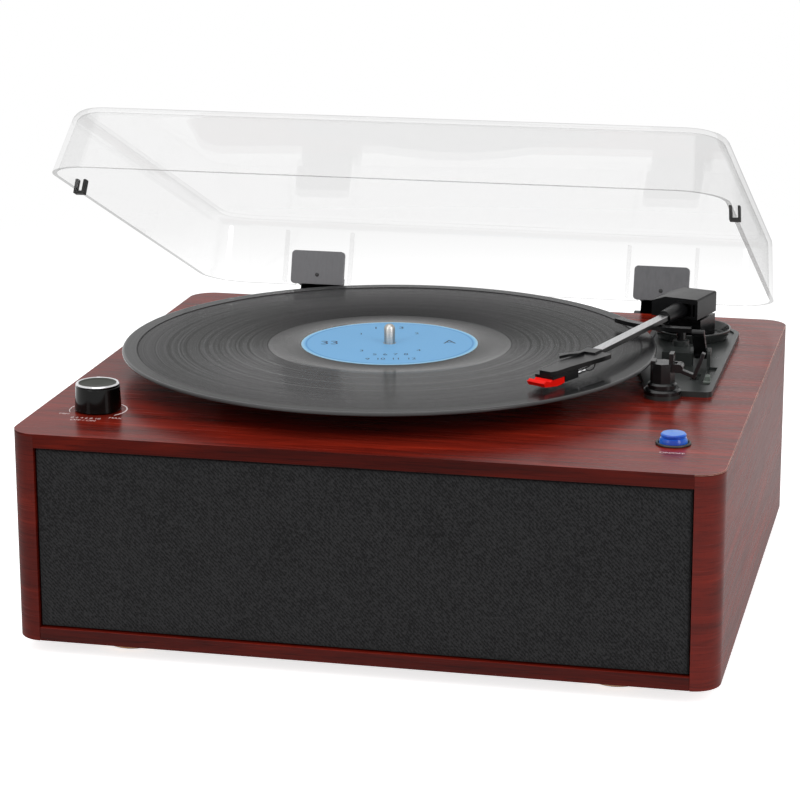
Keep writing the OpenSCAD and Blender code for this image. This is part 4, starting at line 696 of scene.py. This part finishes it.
def swept(mesh, path, radii, sides=10):
    """A round bar along a path, with a radius at each of its points and closed ends."""
    rings, across = [], None
    for i, point in enumerate(path):
        way = (path[min(i + 1, len(path) - 1)] - path[max(i - 1, 0)]).normalized()
        across = way.orthogonal() if across is None else across - way * across.dot(way)
        across.normalize()
        beside = way.cross(across)
        rings.append([mesh.verts.new(point + radii[i] * (across * math.cos(t) + beside * math.sin(t)))
                      for t in (2 * math.pi * k / sides for k in range(sides))])
    for one, two in zip(rings, rings[1:]):
        for k in range(sides):
            mesh.faces.new((one[k], one[(k + 1) % sides], two[(k + 1) % sides], two[k])).smooth = True
    mesh.faces.new(list(reversed(rings[0])))
    mesh.faces.new(rings[-1])


clips, wires = bmesh.new(), bmesh.new()
for x, drop in ((-0.0045, 0.0002), (-0.0015, 0.0009), (0.0015, 0.0005), (0.0045, 0.0011)):
    swept(clips, [shell_at @ Vector((x, y, pin_z)) for y, r in clip_shape], [r for y, r in clip_shape])
    corners = [Vector((x * spread, y, pin_z + rise)) for spread, y, rise in (
        (1.0, -0.0240, 0.0), (1.15, -0.0205, -drop), (1.1, -0.0165, 0.0003 - drop),
        (0.8, -0.0130, 0.0009), (0.4, -0.0085, 0.0019), (0.25, -0.0040, 0.0027))]
    loop = [a.lerp(b, f) for a, b in zip(corners, corners[1:]) for f in (0, 0.5)]
    swept(wires, [shell_at @ p for p in loop + corners[-1:]], [wire_r] * (len(loop) + 1), 8)
add_piece("wire_clips", clips, "arm", brushed("tinned_clip", srgb(228, 228, 230), 0.25, (900, 900, 900)))
add_piece("head_wires", wires, "arm", moulded("wire_black", srgb(16, 16, 17), 0.4, 0.0008, 0.1))

# The volume knob: gloss black with a bright ring let into its top edge. The push button is clear blue
# plastic in a black bezel.
ring_low, ring_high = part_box("knob_ring")


def by_height(material, lower, upper, height):
    """One value below a height on the piece, another above it."""
    place = new_node(material, "TexCoord")
    level = new_node(material, "SeparateXYZ")
    part = new_node(material, "MapRange", {"From Min": height - 0.0001, "From Max": height + 0.0001,
                                           "To Min": lower, "To Max": upper})
    connect(material, (place.outputs["Object"], level.inputs["Vector"]),
            (level.outputs["Z"], part.inputs["Value"]))
    return part.outputs["Result"]


knob_black = moulded("knob_black", srgb(60, 62, 57), 0.1, 0.001, 0.02, Specular_IOR_Level=0.22)
shade(knob_black, by_height(knob_black, 0.03, 1.0, ring_low.z))
connect(knob_black, (by_height(knob_black, 0.1, 0.6, ring_low.z),
                     knob_black.node_tree.nodes["Principled BSDF"].inputs["Roughness"]))
dress(knob_black, "volume_knob")
ring_chrome = brushed("ring_chrome", srgb(232, 232, 234), 0.12, (2000, 2000, 200))
dress(shade(ring_chrome, by_height(ring_chrome, 0.01, 1.0, ring_high.z - 0.0008)), "knob_ring")
dress(satin_black, "button_bezel")
button_blue = moulded("button_blue", srgb(22, 92, 218), 0.18, 0.001, 0.03, Specular_IOR_Level=0.4)
# Painted sheen: the blue turns paler where the surface slants away from the eye, standing for reflected
# light.
button_facing = new_node(button_blue, "LayerWeight", {"Blend": 0.35})
button_painted_sheen = tone_ramp(button_blue, (0.0, srgb(14, 62, 176)), (0.45, srgb(34, 112, 226)),
                        (0.9, srgb(128, 186, 250)))
connect(button_blue, (button_facing.outputs["Facing"], button_painted_sheen.inputs["Fac"]),
        (button_painted_sheen.outputs["Color"], button_blue.node_tree.nodes["Principled BSDF"].inputs["Base Color"]))
dress(button_blue, "power_button")
ease(0.0004, "button_bezel", "power_button")

# The sockets at the back: a black plate with two phono sockets, their barrels turned from bright metal
# round a white and a red insulator, and the low-voltage inlet.
dress(satin_black, "power_inlet")
barrel = brushed("socket_barrel", srgb(214, 215, 216), 0.25, (400, 2000, 400))
barrel_place = new_node(barrel, "TexCoord")
barrel_depth = new_node(barrel, "SeparateXYZ")
plate_y = 0.1584
barrel_part = new_node(barrel, "MapRange", {"From Min": plate_y - 0.0001, "From Max": plate_y + 0.0001,
                                            "To Min": 0.015, "To Max": 1.0})
connect(barrel, (barrel_place.outputs["Object"], barrel_depth.inputs["Vector"]),
        (barrel_depth.outputs["Y"], barrel_part.inputs["Value"]),
        (barrel_part.outputs["Result"], barrel.node_tree.nodes["Principled BSDF"].inputs["Metallic"]))
dress(shade(barrel, barrel_part.outputs["Result"]), "phono_sockets")
ease(0.0003, "phono_sockets", "power_inlet")
socket_z, socket_face, socket_inside = 0.045, 0.16604, 0.1656
insulator_section = ((0.0017, socket_inside), (0.0017, socket_face), (0.0032, socket_face),
                     (0.0033, socket_inside))
turns = [(math.cos(t), math.sin(t)) for t in (2 * math.pi * k / 32 for k in range(33))]
for side, x, tone in (("left", -0.067, srgb(238, 236, 230)), ("right", -0.053, srgb(196, 24, 20))):
    insulator = bmesh.new()
    rings = [[Vector((x + r * c, y, socket_z + r * s)) for c, s in turns] for r, y in insulator_section]
    skin(insulator, rings, smooth=False)
    bmesh.ops.remove_doubles(insulator, verts=insulator.verts, dist=1e-7)
    bmesh.ops.recalc_face_normals(insulator, faces=insulator.faces)
    add_piece(side + "_socket_insulator", insulator, "cabinet",
              moulded(side + "_insulator_tone", tone, 0.35, 0.0006, 0.1))

# The hinges: pressed black brackets screwed to the back board, and brushed steel leaves that stand
# against the lid's rear wall between its ribs, each held there by a rivet.
leaf_black_to, rivet_in, rivet_z = 0.1303, 0.017, 0.136
dress(satin_black, "left_hinge_bracket", "right_hinge_bracket")
hinge_steel = brushed("hinge_steel", srgb(108, 108, 110), 0.5, (600, 600, 12))
dress(shade(hinge_steel, by_height(hinge_steel, 0.01, 1.0, leaf_black_to)),
      "left_hinge_leaf", "right_hinge_leaf")
rivets = bmesh.new()
for leaf in (frame["nodes"][side + "_hinge_leaf"] for side in ("left", "right")):
    turn = leaf.matrix_world.to_3x3()
    plate = max((f for f in leaf.data.polygons if (turn @ f.normal).y < -0.9), key=lambda f: f.area)
    way, spot = turn @ plate.normal, leaf.matrix_world @ plate.center
    root = Vector((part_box(leaf.name)[0].x + rivet_in, 0, rivet_z))
    root.y = (way.dot(spot) - way.z * root.z) / way.y
    swept(rivets, [root + way * d for d in (-0.0002, 0.0003, 0.00045)], (0.0013, 0.0012, 0.0007), 16)
add_piece("hinge_rivets", rivets, "cover", satin_black)
ease(0.0004, "left_hinge_bracket", "right_hinge_bracket", "left_hinge_leaf", "right_hinge_leaf")

# The lid: one clear moulding of even wall, drawn in at the front and sides, with notches for the hinges
# and a pair of ribs beside each. Its bends look greyer, and its cut rim is frosted. Soft black bumpers
# are pushed onto the rims.
lid_wall = 0.0025
lid_rim_z = 0.1236
lid_half = 0.154
lid_rim_ends, lid_top_ends = (-0.144, 0.134), (-0.131, 0.133)
lid_rim_r, lid_top_r, lid_edge_r = 0.026, 0.015, 0.008
lid_rise = (0.0295, 0.0335)
notch_x, notch_half, notch_high = 0.109, 0.0145, 0.0085
rib_out, rib_half, rib_low, rib_high = 0.021, 0.001, 0.001, 0.0335
rim_finish, bend_finish = 1, 2

hinge = next(j for j in frame["joints"] if j["name"] == "lid_hinge")
hinge_at = Vector(hinge["pos_m"])
lid_opened = Matrix.Translation(hinge_at) @ Matrix.Rotation(
    math.radians(hinge["range_deg"][0]), 4, "X") @ Matrix.Translation(-hinge_at)


def lid_stations():
    """(rim base, top base, outward direction) round the lid, from the front middle by the right side."""
    right = [((x, lid_rim_ends[0]), (x, lid_top_ends[0]), (0, -1)) for x in (0, 0.05, 0.1)]
    right += [((lid_half, lid_rim_ends[0]), (lid_half, lid_top_ends[0]), (math.sin(t), -math.cos(t)))
              for t in (math.pi / 2 * i / 10 for i in range(11))]
    right += [((lid_half, lid_rim_ends[0] + (lid_rim_ends[1] - lid_rim_ends[0]) * f),
               (lid_half, lid_top_ends[0] + (lid_top_ends[1] - lid_top_ends[0]) * f), (1, 0))
              for f in (0.2, 0.4, 0.6, 0.8)]
    right += [((lid_half, lid_rim_ends[1]), (lid_half, lid_top_ends[1]), (math.cos(t), math.sin(t)))
              for t in (math.pi / 2 * i / 10 for i in range(11))]
    right += [((x, lid_rim_ends[1]), (x, lid_top_ends[1]), (0, 1))
              for x in (notch_x + notch_half, notch_x - notch_half, 0.05, 0)]
    left = [((-a[0], a[1]), (-b[0], b[1]), (-n[0], n[1])) for a, b, n in reversed(right[1:-1])]
    return right + left


def lid_column(station, inset):
    """Points up one place of the lid's wall: rim, notch height, then round the top edge."""
    rim_base, top_base, outward = (Vector(v + (0,)) for v in station)
    rim = rim_base + outward * (lid_rim_r - inset)
    top = top_base + outward * lid_top_r
    share = (top.y - lid_top_ends[0]) / (lid_top_ends[1] - lid_top_ends[0])
    top.z = lid_rise[0] + (lid_rise[1] - lid_rise[0]) * min(1, max(0, share))
    edge = lid_edge_r - inset
    run = (rim - top).dot(outward)
    start = math.pi / 2 - math.atan2(top.z, run) - math.asin(edge / math.hypot(run, top.z))
    bend = [top + edge * (outward * math.cos(t) + Vector((0, 0, math.sin(t))))
            for t in (start + (math.pi / 2 - start) * i / 6 for i in range(7))]
    return [rim, rim.lerp(bend[0], notch_high / bend[0].z)] + bend


lid_mesh = bmesh.new()
stations = lid_stations()
count = len(stations)
shells = [[[lid_mesh.verts.new(p + Vector((0, 0, lid_rim_z))) for p in lid_column(s, inset)]
           for s in stations] for inset in (0, lid_wall)]


def in_notch(i):
    """Whether the wall between station i and the next is cut away for a hinge."""
    middle = (Vector(stations[i][0]) + Vector(stations[(i + 1) % count][0])) / 2
    return middle.y > lid_rim_ends[1] - 1e-6 and abs(abs(middle.x) - notch_x) < notch_half


outer, inner = shells
for i in range(count):
    j = (i + 1) % count
    cut = in_notch(i)
    for shell in shells:
        for k in range(1 if cut else 0, len(shell[i]) - 1):
            wall = lid_mesh.faces.new((shell[i][k], shell[j][k], shell[j][k + 1], shell[i][k + 1]))
            wall.material_index = bend_finish if k > 1 else 0
    level = 1 if cut else 0
    lid_mesh.faces.new((outer[i][level], outer[j][level], inner[j][level],
                        inner[i][level])).material_index = rim_finish
    if cut != in_notch(i - 1):
        lid_mesh.faces.new((outer[i][0], outer[i][1], inner[i][1], inner[i][0])).material_index = rim_finish
for shell in shells:
    for i in range(count // 2):
        corners = [shell[k % count][-1] for k in (i, i + 1, count - i - 1, count - i)]
        lid_mesh.faces.new(list(dict.fromkeys(corners)))
for face in lid_mesh.faces:
    face.smooth = True
wall_y = lid_rim_ends[1] + lid_rim_r - lid_wall
foot, head = lid_rim_z + rib_low, lid_rim_z + rib_high
for x in (side * notch_x + way * rib_out for side in (-1, 1) for way in (-1, 1)):
    rib = [[lid_mesh.verts.new((x + dx, y, z)) for dx in (-rib_half, rib_half)] for y, z in (
        (wall_y + 0.0003, foot), (wall_y - 0.005, foot), (wall_y - 0.0066, head), (wall_y - 0.0033, head))]
    for a, b in zip(rib, rib[1:] + rib[:1]):
        lid_mesh.faces.new((a[0], a[1], b[1], b[0]))
    lid_mesh.faces.new([pair[0] for pair in rib])
    lid_mesh.faces.new([pair[1] for pair in reversed(rib)])
bmesh.ops.recalc_face_normals(lid_mesh, faces=lid_mesh.faces)
lid_mesh.transform(lid_opened)
lid_data = bpy.data.meshes.new("clear_lid")
lid_mesh.to_mesh(lid_data)
lid_mesh.free()
lid_data.set_sharp_from_angle(angle=math.radians(35))
clear_lid = bpy.data.objects.new("clear_lid", lid_data)
scene.collection.objects.link(clear_lid)


def clear_wall(name, face_tone, slant_tone, roughness):
    """Thin clear plastic: light passes nearly straight, dims on a slant and mirrors more at a low angle."""
    material, shader = finish(name, Base_Color=(1, 1, 1, 1), Metallic=1.0)
    place = new_node(material, "TexCoord")
    haze = new_node(material, "TexNoise", {"Scale": 14.0, "Detail": 5.0})
    gloss = new_node(material, "MapRange", {"From Min": 0.3, "From Max": 0.75, "To Min": roughness * 0.5,
                                            "To Max": roughness * 1.5})
    slant = new_node(material, "LayerWeight", {"Blend": 0.5})
    through_tone = tone_ramp(material, *((at, (tone,) * 3 + (1,)) for at, tone in (
        (0.0, face_tone), (0.6, face_tone), (0.8, slant_tone), (0.9, slant_tone), (0.97, slant_tone * 0.85),
        (1.0, slant_tone * 0.75))))
    through = new_node(material, "BsdfTransparent")
    steep = new_node(material, "Math", {1: 5.0}, operation="POWER")
    share = new_node(material, "MapRange", {"To Min": 0.03, "To Max": 0.07})
    blend = new_node(material, "MixShader")
    connect(material, (place.outputs["Object"], haze.inputs["Vector"]),
            (haze.outputs["Fac"], gloss.inputs["Value"]),
            (gloss.outputs["Result"], shader.inputs["Roughness"]),
            (slant.outputs["Facing"], through_tone.inputs["Fac"]),
            (through_tone.outputs["Color"], through.inputs["Color"]),
            (slant.outputs["Facing"], steep.inputs[0]), (steep.outputs[0], share.inputs["Value"]),
            (share.outputs["Result"], blend.inputs["Fac"]), (through.outputs["BSDF"], blend.inputs[1]),
            (shader.outputs["BSDF"], blend.inputs[2]),
            (blend.outputs["Shader"], material.node_tree.nodes["Material Output"].inputs["Surface"]))
    return material


lid_data.materials.append(clear_wall("clear_plastic", 0.95, 0.94, 0.02))
lid_data.materials.append(clear_wall("frosted_rim", 0.72, 0.6, 0.25))
lid_data.materials.append(clear_wall("clear_bend", 0.945, 0.84, 0.03))
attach(clear_lid, "cover")
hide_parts("lid")
dress(soft_rubber, "lid_bumpers")
ease(0.0004, "lid_bumpers")
